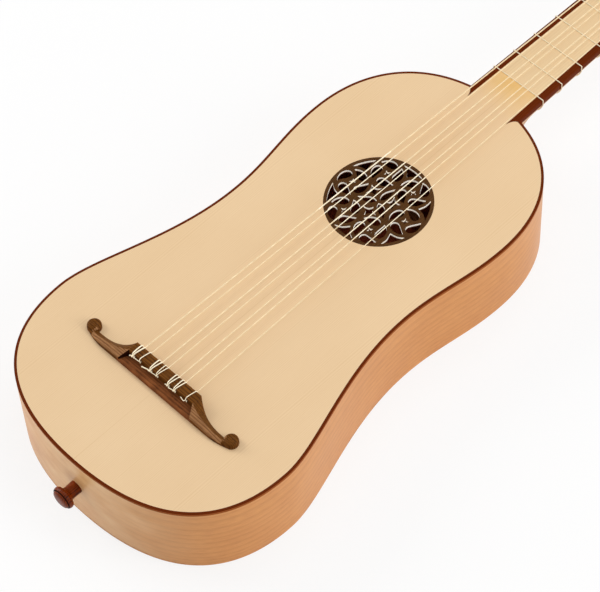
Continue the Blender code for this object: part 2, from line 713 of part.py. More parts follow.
def bridge_section(x, pocketed):
    """The bridge's section at a distance from the centre, from its front round to its back.

    Its back points lie further out, because the ends of the pocket behind the bar slant.
    """
    back = BRIDGE_Y - BRIDGE_BAR_DEPTH - BRIDGE_LEDGE_DEPTH
    side = -1 if x < 0 else 1
    along_arm = max(abs(x) - BRIDGE_BAR_HALF_LENGTH, 0.0)
    arm = min(along_arm / (BRIDGE_ARM_NARROW_X - BRIDGE_BAR_HALF_LENGTH), 1.0)
    narrow_front = back + BRIDGE_ARM_WIDTH
    front = narrow_front + (BRIDGE_Y - narrow_front) * (1 - arm) ** BRIDGE_ARM_CURVE
    to_scroll = along_arm / (BRIDGE_SCROLL_X - BRIDGE_BAR_HALF_LENGTH)
    rise = max(to_scroll - BRIDGE_ARM_BACK_RISE_FROM, 0.0) / (1 - BRIDGE_ARM_BACK_RISE_FROM)
    back += BRIDGE_ARM_BACK_RISE * rise ** 2
    bar_share = BRIDGE_BAR_DEPTH / (BRIDGE_BAR_DEPTH + BRIDGE_LEDGE_DEPTH)
    share = bar_share + (BRIDGE_ARM_RIDGE_SHARE - bar_share) * arm
    ridge = front + (back - front) * share
    fall = (1 - arm) ** BRIDGE_ARM_FRONT_FALL
    front_height = BRIDGE_ARM_FRONT_HEIGHT + (BRIDGE_BAR_HEIGHT - BRIDGE_ARM_FRONT_HEIGHT) * fall
    height = BRIDGE_BAR_HEIGHT + (BRIDGE_ARM_RIDGE_END_HEIGHT - BRIDGE_BAR_HEIGHT) * arm
    back_height = BRIDGE_ARM_BACK_HEIGHT + (BRIDGE_ARM_BACK_END_HEIGHT - BRIDGE_ARM_BACK_HEIGHT) * arm
    step = ridge - BRIDGE_STEP_SLOPE
    slope_share = BRIDGE_STEP_SLOPE / (ridge - back)
    step_height = height + (back_height - height) * slope_share
    if pocketed:
        step_height = back_height = BRIDGE_LEDGE_HEIGHT
    outer = x
    if abs(x) > 0:
        outer = x + side * BRIDGE_POCKET_END_SLANT * (1 - min(to_scroll, 1.0))
    base = TOP + GAP
    return [(x, front, base), (x, front, base + front_height), (x, ridge, base + height),
            (x, step, base + step_height), (outer, back, base + back_height), (outer, back, base)]


def make_bridge(looks):
    pocket_end = BRIDGE_BAR_HALF_LENGTH - BRIDGE_POCKET_END_SLOPE
    arm_length = BRIDGE_SCROLL_X - BRIDGE_BAR_HALF_LENGTH
    half = [(0.0, True), (pocket_end, True)]
    half += [(BRIDGE_BAR_HALF_LENGTH + arm_length * i / ARM_STEPS, False) for i in range(ARM_STEPS + 1)]
    places = mirrored(half[:0:-1], -1) + half
    sections = [bridge_section(x, pocketed) for x, pocketed in places]
    bridge = add_object("bridge", loft("bridge", sections), looks["walnut"])
    back = BRIDGE_Y - BRIDGE_BAR_DEPTH - BRIDGE_LEDGE_DEPTH
    base = TOP + GAP
    for side, end in ((-1, "bass"), (1, "treble")):
        centre = (side * BRIDGE_SCROLL_X, back + BRIDGE_SCROLL_FORWARD)
        sections = []
        for width, height in ((1.0, 0.0), (1.0, 0.6), (0.86, 0.88), (0.55, 1.0)):
            radius = width * BRIDGE_SCROLL_RADIUS
            top = base + height * BRIDGE_SCROLL_HEIGHT
            sections.append(ring_points(radius, radius, top, ROUND_STEPS, centre))
        unite(bridge, helper_object("scroll_" + end, loft("scroll_" + end, sections)))
    bm = bmesh.new()
    for x, radius in zip(BRIDGE_STRINGS, STRING_RADII):
        hole = radius + GAP
        sections = []
        for y in (BRIDGE_Y - BRIDGE_BAR_DEPTH - CUT_OVERRUN, BRIDGE_Y + CUT_OVERRUN):
            ring = ring_points(hole, hole, 0.0, STRING_HOLE_STEPS)
            sections.append([(x + a, y, TOP + BRIDGE_HOLE_HEIGHT + b) for a, b, _ in ring])
        add_loft(bm, sections)
    cut(bridge, helper_object("string_holes", finished_mesh(bm, "string_holes")))


def neck_depth(y):
    share = (y - NECK_ROOT_Y) / (NUT_BACK_Y - NECK_ROOT_Y)
    depth = NECK_DEPTH_AT_BODY + (NECK_DEPTH_AT_NUT - NECK_DEPTH_AT_BODY) * share
    into_heel = 1 - (y - NECK_ROOT_Y) / HEEL_LENGTH
    if into_heel > 0:
        heel_depth = BODY_DEPTH - HEEL_LIFT
        depth += (heel_depth - depth) * (1 - math.sqrt(1 - into_heel ** 2))
    return depth


def neck_curve(y, outward=0.0, steps=8):
    """The neck's round underside in section, from the treble edge to the bass edge."""
    half = neck_half_width(y) + outward
    drop = neck_depth(y) - (TOP - WOOD_UNDER_STRIPS) + outward
    lean_drop = math.sin(NECK_SIDE_LEAN)
    points = []
    for i in range(2 * steps + 1):
        angle = NECK_SIDE_LEAN + (math.pi - 2 * NECK_SIDE_LEAN) * i / (2 * steps)
        across = math.cos(angle) / math.cos(NECK_SIDE_LEAN)
        if i == steps:
            across = 0.0
        down = (math.sin(angle) - lean_drop) / (1 - lean_drop)
        points.append((half * across, WOOD_UNDER_STRIPS - drop * down))
    return points


def neck_section(y):
    inner = board_half_width(y) - GAP
    section = [(-inner, WOOD_UNDER_STRIPS), (-inner, WOOD_UNDER_BOARD),
               (inner, WOOD_UNDER_BOARD), (inner, WOOD_UNDER_STRIPS)]
    return section + neck_curve(y)


def make_neck(looks):
    start = body_top_y(NECK_WIDTH_AT_BODY / 2) - GAP
    heel = [NECK_ROOT_Y + HEEL_LENGTH * share for share in (0.04, 0.12, 0.25, 0.45, 0.7, 1.0)]
    shaft = [NECK_ROOT_Y + HEEL_LENGTH + (NUT_Y - NECK_ROOT_Y - HEEL_LENGTH) * i / 4
             for i in range(1, 5)]
    sections = [[(x, start, z) for x, z in neck_section(NECK_ROOT_Y)]]
    for y in heel + shaft:
        sections.append([(x, y, z) for x, z in neck_section(y)])
    lean = math.tan(HEAD_TILT)
    sections.append([(x, NUT_BACK_Y - (TOP - z) * lean, z) for x, z in neck_section(NUT_Y)])
    neck = add_object("neck", loft("neck", sections), looks["neck_wood"])
    body_room = plate("body_room", body_outline(-GAP), -CUT_OVERRUN, TOP + CUT_OVERRUN)
    cut(neck, helper_object("body_room", body_room))


def make_fingerboard(looks):
    start = LAST_FRET_Y + GAP / 2
    end = NUT_Y - GAP
    half = [(board_half_width(start) - GAP, start), (board_half_width(end) - GAP, end)]
    outline = half + mirrored(half, -1)[::-1]
    mesh = plate("fingerboard", outline, TOP - SOUNDBOARD_THICKNESS, TOP)
    add_object("fingerboard", mesh, looks["fingerboard_wood"])
    step_length = 0.0005
    for side, name in ((-1, "fingerboard_edge_bass"), (1, "fingerboard_edge_treble")):
        stations = [(y, x, SOUNDBOARD_THICKNESS) for x, y in tip_curve()]
        stations.append((NECK_ROOT_Y, neck_half_width(NECK_ROOT_Y), SOUNDBOARD_THICKNESS))
        deep = NECK_ROOT_Y + step_length
        stations.append((deep, neck_half_width(deep), EDGE_STRIP_DEPTH))
        stations.append((end, neck_half_width(end), EDGE_STRIP_DEPTH))
        sections = []
        for y, outer, depth in stations:
            inner = board_half_width(y)
            sections.append([(side * inner, y, TOP), (side * outer, y, TOP),
                             (side * outer, y, TOP - depth), (side * inner, y, TOP - depth)])
        add_object(name, loft(name, sections), looks["dark_wood"])


def head_outline():
    """The peghead's plan in its own frame, from the nut to its far end."""
    start = neck_half_width(NUT_Y)
    shoulder = [(start, 0), (start, HEAD_SHOULDER * 0.45),
                (HEAD_HALF_WIDTH, HEAD_SHOULDER * 0.45), (HEAD_HALF_WIDTH, HEAD_SHOULDER)]
    corner = HEAD_LENGTH - HEAD_END_CURVE
    crown = [(HEAD_END_HALF_WIDTH, corner), (HEAD_END_HALF_WIDTH * 1.02, HEAD_LENGTH - 0.002),
             (HEAD_END_HALF_WIDTH * 0.5, HEAD_LENGTH), (0, HEAD_LENGTH)]
    half = [bezier(shoulder, i / 6) for i in range(7)] + [bezier(crown, i / 6) for i in range(7)]
    half = [(point.x, point.y) for point in half]
    return half + mirrored(half[:-1], -1)[::-1]


def peg_places():
    """Each string's peg in the peghead's frame, nearest pegs for the outer strings."""
    places = []
    for number in range(len(STRING_RADII)):
        if number < BASS_PEGS:
            places.append((-PEG_FROM_CENTRE, FIRST_PEG_FROM_NUT + number * PEG_SPACING))
        else:
            row = len(STRING_RADII) - 1 - number + 0.5
            places.append((PEG_FROM_CENTRE, FIRST_PEG_FROM_NUT + row * PEG_SPACING))
    return places


def peg_radius(height):
    return PEG_RADIUS - PEG_TAPER * height


def peg_profile():
    board_back = -HEAD_STACK
    collar = board_back - 2 * GAP
    stem = collar - PEG_COLLAR_LENGTH
    grip = stem - PEG_STEM_LENGTH
    end = grip - PEG_GRIP_LENGTH
    wide = PEG_GRIP_HALF_WIDTH
    thick = PEG_GRIP_HALF_THICKNESS
    return [(PEG_ABOVE_FACE, peg_radius(PEG_ABOVE_FACE) * 0.55),
            (PEG_ABOVE_FACE - 0.0009, peg_radius(PEG_ABOVE_FACE)),
            (collar, peg_radius(collar)),
            (collar - 0.0003, PEG_COLLAR_RADIUS),
            (stem, PEG_COLLAR_RADIUS * 0.95),
            (stem - 0.0008, PEG_STEM_RADIUS),
            (grip, PEG_STEM_RADIUS),
            (grip - 0.2 * PEG_GRIP_LENGTH, wide * 0.72, thick * 0.9),
            (grip - 0.5 * PEG_GRIP_LENGTH, wide, thick),
            (grip - 0.8 * PEG_GRIP_LENGTH, wide * 0.8, thick * 0.85),
            (end, wide * 0.3, thick * 0.4)]


def bore_mesh():
    """All the peg bores as one cutter, each tapered like its peg."""
    margin = GAP / math.cos(math.pi / ROUND_STEPS)
    low = -HEAD_STACK - CUT_OVERRUN
    bm = bmesh.new()
    for place in peg_places():
        sections = []
        for height in (low, CUT_OVERRUN):
            radius = peg_radius(height) / math.cos(math.pi / ROUND_STEPS) + margin
            sections.append(ring_points(radius, radius, height, ROUND_STEPS, place))
        add_loft(bm, sections)
    return finished_mesh(bm, "peg_bores")


def make_head(looks):
    frame = bpy.data.objects.new("peghead_frame", None)
    frame.location = (0.0, NUT_BACK_Y + GAP, TOP - HEAD_DROP)
    frame.rotation_euler = (-HEAD_TILT, 0.0, 0.0)
    bpy.context.scene.collection.objects.link(frame)
    bores = helper_object("peg_bores", bore_mesh(), frame)
    outline = head_outline()
    veneer_bottom = -VENEER_THICKNESS
    veneer = add_object("peghead_veneer", plate("peghead_veneer", outline, veneer_bottom, 0.0),
                        looks["dark_wood"], frame)
    head_top = veneer_bottom - GAP
    head = add_object("peghead", plate("peghead", outline, head_top - HEAD_THICKNESS, head_top),
                      looks["neck_wood"], frame)
    cut(veneer, bores)
    cut(head, bores)
    peg_mesh = turned("peg", peg_profile(), PEG_STEPS)
    for number, (x, y) in enumerate(peg_places(), 1):
        peg = add_object("peg_%d" % number, peg_mesh.copy(), looks["peg_wood"], frame)
        peg.location = (x, y, 0.0)
        winding = tube("winding_%d" % number, winding_path(number - 1), STRING_RADII[number - 1],
                       1, looks["gut"])
        winding.parent = frame
        winding.location = (x, y, 0.0)


def winding_pitch(number):
    return 2 * STRING_RADII[number] + WINDING_TURN_GAP


def winding_radius(number):
    """From a peg's axis to the middle of the string wound on it."""
    return peg_radius(winding_low(number)) + GAP + STRING_RADII[number]


def winding_low(number):
    """Height of the lowest turn, the one that the string runs on to."""
    return WINDING_HEIGHT - WINDING_TURNS * winding_pitch(number) / 2


def winding_path(number):
    """The turns of a string on its peg, rising from the face of the head.

    Both ends run straight for one diameter of the string, the lower one toward the nut.
    """
    radius = winding_radius(number)
    inward = 0.0 if number < BASS_PEGS else math.pi
    turn_way = 1 if number < BASS_PEGS else -1
    count = round(WINDING_TURNS * WINDING_STEPS)
    points = []
    for i in range(count + 1):
        turn = i / WINDING_STEPS
        angle = inward + turn_way * 2 * math.pi * turn
        height = winding_low(number) + turn * winding_pitch(number)
        points.append(Vector((radius * math.cos(angle), radius * math.sin(angle), height)))
    diameter = 2 * STRING_RADII[number]
    first = points[0] - Vector((0.0, diameter, 0.0))
    last = points[-1] + (points[-1] - points[-2]).normalized() * diameter
    return [first] + points + [last]


def least_winding_gap():
    """The least gap between neighbouring turns, over all the windings."""
    least = None
    for number, radius in enumerate(STRING_RADII):
        points = winding_path(number)
        for i, place in enumerate(points):
            for other in points[i + WINDING_STEPS // 2:]:
                gap = (place - other).length - 2 * radius
                least = gap if least is None else min(least, gap)
    return least


def nut_point(number):
    """Where a string lies on the front edge of the nut."""
    return Vector((NUT_STRINGS[number], NUT_Y, TOP + STRING_HEIGHT_AT_NUT))


def winding_point(number):
    """Where a string meets its peg's winding, in world space."""
    x, y = peg_places()[number]
    reach = winding_radius(number) + 2 * STRING_RADII[number] + GAP
    x -= math.copysign(reach, x)
    place = Vector((x, y, winding_low(number)))
    frame = Matrix.Translation((0.0, NUT_BACK_Y + GAP, TOP - HEAD_DROP))
    return frame @ Matrix.Rotation(-HEAD_TILT, 4, "X") @ place


def make_nut(looks):
    half = neck_half_width(NUT_Y)
    bottom = WOOD_UNDER_BOARD + GAP
    crown = TOP + NUT_ABOVE_BOARD
    back = NUT_BACK_Y - NUT_THICKNESS * 0.1
    profile = [(NUT_Y, bottom), (back, bottom), (back, crown - 0.0009), (NUT_Y + 0.0012, crown),
               (NUT_Y, crown - 0.0002)]
    mesh = prism("nut", [(-half, y, z) for y, z in profile], (2 * half, 0, 0))
    nut = add_object("nut", mesh, looks["bone"])
    bm = bmesh.new()
    for number, radius in enumerate(STRING_RADII):
        start = nut_point(number)
        along = (winding_point(number) - start).normalized()
        across = along.cross(Vector((0, 0, 1))).normalized()
        up = across.cross(along)
        sections = []
        for distance in (-CUT_OVERRUN, NUT_THICKNESS + CUT_OVERRUN):
            ring = ring_points(radius + GAP, radius + GAP, 0.0, STRING_HOLE_STEPS)
            sections.append([start + along * distance + across * a + up * b for a, b, _ in ring])
        add_loft(bm, sections)
    cut(nut, helper_object("nut_grooves", finished_mesh(bm, "nut_grooves")))


def string_route(number):
    """Tied round the bar of the bridge, over the nut and on to the peg."""
    radius = STRING_RADII[number]
    x = BRIDGE_STRINGS[number]
    away = radius + GAP
    hole = TOP + BRIDGE_HOLE_HEIGHT
    bar_top = TOP + GAP + BRIDGE_BAR_HEIGHT
    bar_back = BRIDGE_Y - BRIDGE_BAR_DEPTH
    front_end = hole + 2 * radius + 2 * GAP
    loop = [(x, BRIDGE_Y + away, front_end),
            (x, BRIDGE_Y + away, bar_top + 0.4 * away),
            (x, BRIDGE_Y - 0.4 * away, bar_top + away),
            (x, bar_back + 0.2 * away, bar_top + away),
            (x, bar_back - away, bar_top + 0.2 * away),
            (x, bar_back - away, hole + away),
            (x, bar_back - 0.6 * away, hole + 0.3 * away),
            (x, bar_back + 0.4 * away, hole)]
    start = Vector((x, BRIDGE_Y, hole))
    nut = nut_point(number)
    end = winding_point(number)
    before = nut + (start - nut).normalized() * 0.0015
    after = nut + (end - nut).normalized() * 0.0015
    return [Vector(point) for point in loop] + [start, before, after, end]


def tube(name, points, radius, fineness, look):
    """A round string along a path of straight steps, closed at both ends."""
    curve = bpy.data.curves.new(name, "CURVE")
    curve.dimensions = "3D"
    curve.bevel_depth = radius
    curve.bevel_resolution = fineness
    curve.use_fill_caps = True
    spline = curve.splines.new("POLY")
    spline.points.add(len(points) - 1)
    for point, place in zip(spline.points, points):
        point.co = (*place, 1.0)
    curve.materials.append(look)
    made = bpy.data.objects.new(name, curve)
    bpy.context.scene.collection.objects.link(made)
    return made


def make_strings(looks):
    for number, radius in enumerate(STRING_RADII):
        tube("string_%d" % (number + 1), string_route(number), radius, 2, looks["gut"])


def fret_loop(y, radius):
    """The path of a tied fret round the neck, seen along the neck.

    Behind the neck its few straight steps stand off further, to clear the round wood.
    """
    away = radius + GAP
    half = neck_half_width(y)
    corner = []
    for i in range(4):
        angle = math.radians(90 - 30 * i)
        corner.append((half + away * math.cos(angle), TOP + away * math.sin(angle)))
    behind = neck_curve(y, away + FRET_SLACK_BEHIND_NECK, 4)
    return corner + behind + mirrored(corner, -1)[::-1]


def make_frets(looks):
    for number in range(1, FRET_COUNT + 1):
        share = (number - 1) / (FRET_COUNT - 1)
        radius = FIRST_FRET_RADIUS + (LAST_FRET_RADIUS - FIRST_FRET_RADIUS) * share
        y = fret_y(number)
        path = [Vector((x, z)) for x, z in fret_loop(y, radius)]
        sections = []
        for i, place in enumerate(path):
            along = (path[(i + 1) % len(path)] - path[i - 1]).normalized()
            across = Vector((along.y, -along.x))
            ring = []
            for k in range(FRET_STEPS):
                angle = 2 * math.pi * k / FRET_STEPS
                spot = place + across * radius * math.cos(angle)
                ring.append((spot.x, radius * math.sin(angle), spot.y))
            sections.append(ring)
        name = "fret_%d" % number
        fret = add_object(name, loft(name, sections, closed=True), looks["gut"])
        fret.location = (0.0, y, 0.0)


def make_end_pin(looks):
    """The end pin is turned along its own +Z, which points out of the tail."""
    head = END_PIN_EXPOSED
    face = head + END_PIN_HEAD_LENGTH
    profile = [(-END_PIN_DEPTH, END_PIN_SHAFT_RADIUS * 0.9),
               (0.0, END_PIN_SHAFT_RADIUS),
               (head * 0.7, END_PIN_SHAFT_RADIUS * 0.95),
               (head, END_PIN_SHAFT_RADIUS * 1.15),
               (head + END_PIN_HEAD_LENGTH * 0.08, END_PIN_HEAD_RADIUS * 0.9),
               (head + END_PIN_HEAD_LENGTH * 0.35, END_PIN_HEAD_RADIUS),
               (head + END_PIN_HEAD_LENGTH * 0.7, END_PIN_HEAD_RADIUS * 0.96),
               (face - END_PIN_HEAD_LENGTH * 0.06, (END_PIN_HEAD_RADIUS + END_PIN_FACE_RADIUS) / 2),
               (face, END_PIN_FACE_RADIUS)]
    pin = add_object("end_pin", turned("end_pin", profile, ROUND_STEPS), looks["pin_wood"])
    pin.location = (0.0, TAIL_Y, END_PIN_HEIGHT)
    pin.rotation_euler = (math.radians(90), 0.0, 0.0)


def pin_hole_cutter():
    radius = (END_PIN_SHAFT_RADIUS + GAP) / math.cos(math.pi / ROUND_STEPS)
    length = END_PIN_DEPTH + 2 * GAP
    sections = [ring_points(radius, radius, height, ROUND_STEPS) for height in (-length, CUT_OVERRUN)]
    cutter = helper_object("end_pin_hole", loft("end_pin_hole", sections))
    cutter.location = (0.0, TAIL_Y, END_PIN_HEIGHT)
    cutter.rotation_euler = (math.radians(90), 0.0, 0.0)
    return cutter


def main():
    clear_scene()
    looks = make_materials()
    pin_hole = pin_hole_cutter()
    make_soundboard(looks)
    make_sides(looks, pin_hole)
    make_back(looks)
    make_linings(looks)
    make_blocks(looks, pin_hole)
    make_bars(looks)
    make_rose(looks)
    make_bridge(looks)
    make_neck(looks)
    make_fingerboard(looks)
    make_nut(looks)
    make_head(looks)
    make_strings(looks)
    make_frets(looks)
    make_end_pin(looks)
    print("least gap between a winding's turns: %.2f mm" % (1000 * least_winding_gap()))


main()
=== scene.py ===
"""The looks of a renaissance guitar: fine shapes, woods, gut and bone, light and camera."""
from math import copysign, cos, exp, hypot, pi, radians, sin, sqrt, tan

import bmesh
import bpy
from mathutils import Matrix, Vector


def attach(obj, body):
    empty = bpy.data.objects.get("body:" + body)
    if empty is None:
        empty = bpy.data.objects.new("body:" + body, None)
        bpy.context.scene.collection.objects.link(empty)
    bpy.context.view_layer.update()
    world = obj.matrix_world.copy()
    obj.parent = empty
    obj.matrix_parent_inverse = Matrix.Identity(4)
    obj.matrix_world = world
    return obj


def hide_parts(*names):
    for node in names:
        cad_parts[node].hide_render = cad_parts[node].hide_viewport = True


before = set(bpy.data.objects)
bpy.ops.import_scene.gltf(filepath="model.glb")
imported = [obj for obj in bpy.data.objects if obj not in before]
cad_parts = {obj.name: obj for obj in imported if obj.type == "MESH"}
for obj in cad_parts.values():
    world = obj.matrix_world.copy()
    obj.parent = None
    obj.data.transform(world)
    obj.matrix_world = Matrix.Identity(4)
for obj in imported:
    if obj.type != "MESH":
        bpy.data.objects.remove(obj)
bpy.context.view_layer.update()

# Body, in metres: the outline's widest and narrowest places and its curve handles
BODY_LENGTH = 0.372
TOP = 0.061
TAIL_Y = -BODY_LENGTH / 2
TOP_Y = BODY_LENGTH / 2
OUTLINE = ((0, 0), (0.0765, 0), (0.0995, 0.0375), (0.0995, 0.0815), (0.0995, 0.11), (0.074, 0.153),
           (0.074, 0.2065), (0.074, 0.2375), (0.0825, 0.257), (0.0825, 0.2885), (0.0825, 0.346),
           (0.043, 0.372), (0, 0.372))
OUTLINE_STEPS = 44
SOUNDBOARD = 0.0018
RIB = 0.0018
BACK = 0.002
BINDING_WIDTH = 0.0018
BINDING_DEPTH = 0.0021
PIN_Z = 0.0313

# Rose
ROSE_Y = 0.0755
ROSE_RADIUS = 0.035
ROSE_FACE = 0.00022
ROSE_CORE = 0.00248
ROSE_STEPS = 48
WHORL_FROM_CENTRE = 0.0227

# Strings: a pair's gap is a share of that between courses; a tied end reaches sideways and swings back
BRIDGE_Y = -0.105022
STRING_LENGTH = 0.554
NUT_Y = BRIDGE_Y + STRING_LENGTH
STRING_RADII = (0.00042, 0.00030, 0.00038, 0.00028, 0.00034, 0.00034, 0.00027)
BRIDGE_SPAN = 0.0456
NUT_SPAN = 0.0264
PAIR_SHARE = 0.57
NUT_STRING_Z = TOP + 0.0016
HOLE_Z = TOP + 0.007
TIE_REACH = (0.0030, 0.0060, 0.0070, 0.0078, 0.0029, 0.0051, 0.0047)
TIE_SWING = (0.0018, 0.0011, 0.0022, 0.0014, 0.0011, 0.0015, 0.0009)

# Bridge
BAR_HALF = 0.0277
BAR_BACK = BRIDGE_Y - 0.0074
BRIDGE_FOOT = TOP + 0.0003
BAR_HEIGHT = 0.009
BAR_TOP = BRIDGE_FOOT + BAR_HEIGHT
LEDGE_TOP = BRIDGE_FOOT + 0.003
BRIDGE_BACK = BAR_BACK - 0.0068
ARM_NARROW_X = 0.0539
ARM_WIDTH = 0.0061
ARM_CURVE = 2.55
ARM_BACK_RISE = 0.0024
ARM_FRONT_HEIGHT = 0.0016
ARM_RIDGE_HEIGHT = 0.0038
ARM_BACK_HEIGHT = 0.004
ARM_BACK_END_HEIGHT = 0.0018
POCKET_SLANT = 0.0035
SCROLL_X = 0.0598
SCROLL_Y = BRIDGE_BACK + 0.0071
SCROLL_RADIUS = 0.00465
SCROLL_HEIGHT = 0.0043
VOLUTE_PITCH = 0.0021
VOLUTE_DEPTH = 0.0003

# Tied frets: room beside and behind the neck lets them slide to where it is wider
FRETS = 10
FIRST_FRET = 0.00045
LAST_FRET = 0.00036
FRET_ROOM_BESIDE = 0.00008
FRET_ROOM_BEHIND = 0.0002

# Neck and head
NECK_ROOT_Y = 0.1863
NECK_HALF_AT_BODY = 0.0212
NECK_HALF_AT_NUT = 0.0167
NECK_DEPTH_AT_BODY = 0.021
NECK_DEPTH_AT_NUT = 0.0165
NECK_SIDE_LEAN = radians(16)
HEEL_LENGTH = 0.015
HEEL_LIFT = 0.0025
STRIP_WIDTH = 0.0047
STRIP_DEPTH = 0.0045
STRIP_TIP = 0.0085
NUT_BACK_Y = NUT_Y + 0.0045
HEAD_TILT = radians(7)
HEAD_PLACE = (Matrix.Translation((0, NUT_BACK_Y + 0.0003, TOP - 0.001))
              @ Matrix.Rotation(-HEAD_TILT, 4, "X"))
HEAD_LENGTH = 0.128
HEAD_THICKNESS = 0.013
HEAD_SHOULDER = 0.014
HEAD_HALF = 0.0245
HEAD_END_HALF = 0.0265
VENEER = 0.0012

# Pegs and the strings' turns on them
PEG_FROM_CENTRE = 0.017
PEG_SPACING = 0.024
BASS_PEGS = 4
PEG_RADIUS = 0.003
PEG_TAPER = 0.02
WINDING_Z = 0.0035
WINDING_ROOM = 0.00048
WINDING_TURNS = 5
WINDING_STEPS = 28

# Camera: its angles in radians, where it looks and how far off, its focal length in picture widths
CAMERA_TURN = 0.83596
CAMERA_LIFT = 0.96778
CAMERA_ROLL = -0.06485
CAMERA_AIM = (0.01491, -0.00953, TOP)
CAMERA_DISTANCE = 1.62155
CAMERA_FOCUS = 2645.0 / 600.0

SIDES = ((-1, "bass"), (1, "treble"))
BLACK = (0.0, 0.0, 0.0, 1.0)
WHITE = (1.0, 1.0, 1.0, 1.0)


def between(first, last, share):
    return first + (last - first) * share


def linear(colour):
    """A colour of the screen, 0 to 255, as the light it stands for."""
    parts = [(c / 255 / 12.92) if c < 11 else ((c / 255 + 0.055) / 1.055) ** 2.4 for c in colour]
    return (*parts, 1.0)


class Net:
    """A node tree under construction: adds nodes and joins their sockets."""

    def __init__(self, tree):
        self.tree = tree

    def add(self, kind, inputs=None, **settings):
        node = self.tree.nodes.new(kind)
        for key, value in settings.items():
            setattr(node, key, value)
        for key, value in (inputs or {}).items():
            self.join(value, node.inputs[key])
        return node

    def shape(self, kind, inputs=None, **settings):
        """The first output of a new geometry node."""
        return self.add("GeometryNode" + kind, inputs, **settings).outputs[0]

    def shade(self, kind, inputs=None, **settings):
        """The first output of a new shader node."""
        return self.add("ShaderNode" + kind, inputs, **settings).outputs[0]

    def join(self, value, socket):
        if isinstance(value, bpy.types.NodeSocket):
            self.tree.links.new(value, socket)
        else:
            socket.default_value = value

    def math(self, operation, *values):
        return self.shade("Math", dict(enumerate(values)), operation=operation)

    def xyz(self, *parts):
        return self.shade("CombineXYZ", dict(enumerate(parts)))

    def part(self, vector, axis):
        return self.add("ShaderNodeSeparateXYZ", {0: vector}).outputs[axis]

    def scaled(self, vector, by):
        return self.shade("VectorMath", {0: vector, 1: by}, operation="MULTIPLY")

    def range(self, value, low, high, to_low=0.0, to_high=1.0, smooth=False):
        return self.shade("MapRange", {0: value, 1: low, 2: high, 3: to_low, 4: to_high},
                          interpolation_type="SMOOTHSTEP" if smooth else "LINEAR")

    def noise(self, vector, detail=2.0, rough=0.5):
        node = self.add("ShaderNodeTexNoise", {"Vector": vector, "Scale": 1.0, "Detail": detail,
                                               "Roughness": rough})
        return node.outputs["Fac"]

    def blend(self, share, first, second):
        node = self.add("ShaderNodeMix", data_type="RGBA")
        for index, value in ((0, share), (6, first), (7, second)):
            self.join(value, node.inputs[index])
        return node.outputs[2]

    def together(self, *parts):
        """Several geometries as one."""
        node = self.add("GeometryNodeJoinGeometry")
        for part in parts:
            self.tree.links.new(part, node.inputs[0])
        return node.outputs[0]


def new_tree(name, kind, inputs, outputs):
    """A shared tree's net, its inputs and outputs, and what a modifier calls its inputs.

    An input is given by its kind of socket or, for a number, by its usual value.
    """
    tree = bpy.data.node_groups.new(name, kind + "NodeTree")
    names = {}
    for label, what in inputs.items():
        socket = tree.interface.new_socket(label, in_out="INPUT", socket_type="NodeSocket" + (
            what if isinstance(what, str) else "Float"))
        if not isinstance(what, str):
            socket.default_value = what
        names[label] = socket.identifier
    for label in outputs:
        tree.interface.new_socket(label, in_out="OUTPUT", socket_type="NodeSocket" + (
            "Float" if kind == "Shader" else "Geometry"))
    net = Net(tree)
    return net, net.add("NodeGroupInput").outputs, net.add("NodeGroupOutput").inputs, names


def make_grain_group():
    """Year rings, fibres and a slow change of tone, in wood whose grain runs along Y."""
    net, given, made, _ = new_tree("wood grain", "Shader", {
        "Vector": "Vector", "Ring Spacing": 0.0012, "Wander": 0.002, "Fibre Width": 0.0004,
        "Fibre Length": 0.012, "Figure Size": 0.05, "Seed": 0.0}, ["Rings", "Fibres", "Figure"])
    seed = net.xyz(given["Seed"], given["Seed"])
    place = net.shade("VectorMath", {0: given["Vector"], 1: seed}, operation="ADD")
    drift = net.math("SUBTRACT", net.noise(net.scaled(place, (14.0, 2.2, 14.0))), 0.5)
    x = net.math("MULTIPLY_ADD", drift, given["Wander"], net.part(given["Vector"], 0))
    rings = net.math("DIVIDE", x, given["Ring Spacing"])
    uneven = net.add("ShaderNodeTexNoise", {"W": net.math("MULTIPLY", rings, 0.11), "Scale": 1.0,
                                            "Detail": 1.0}, noise_dimensions="1D")
    rings = net.math("MULTIPLY_ADD", uneven.outputs["Fac"], 5.0, rings)
    share = net.math("FRACT", rings)
    late = net.range(share, 0.35, 0.9, smooth=True)
    end = net.range(share, 0.93, 1.0, smooth=True)
    net.join(net.math("MULTIPLY", late, net.math("SUBTRACT", 1.0, end)), made["Rings"])
    width = net.math("DIVIDE", 1.0, given["Fibre Width"])
    length = net.math("DIVIDE", 1.0, given["Fibre Length"])
    net.join(net.noise(net.scaled(place, net.xyz(width, length, width)), 4.0, 0.62), made["Fibres"])
    size = net.math("DIVIDE", 1.0, given["Figure Size"])
    net.join(net.noise(net.scaled(place, net.xyz(size, size, size))), made["Figure"])
    return net.tree


def make_polish_group():
    """Uneven polish: faint wipes that make a roughness a little more or less."""
    net, given, made, _ = new_tree("polish", "Shader", {"Vector": "Vector", "Roughness": 0.4},
                                   ["Roughness"])
    wipes = net.math("SUBTRACT", net.noise(net.scaled(given["Vector"], (40.0, 9.0, 40.0)), 3.0), 0.5)
    net.join(net.math("MULTIPLY_ADD", wipes, 0.12, given["Roughness"]), made["Roughness"])
    return net.tree


GRAIN = make_grain_group()
POLISH = make_polish_group()
LOOKS = {}


def new_look(name):
    made = bpy.data.materials.new(name)
    made.use_nodes = True
    LOOKS[name] = made
    return Net(made.node_tree)


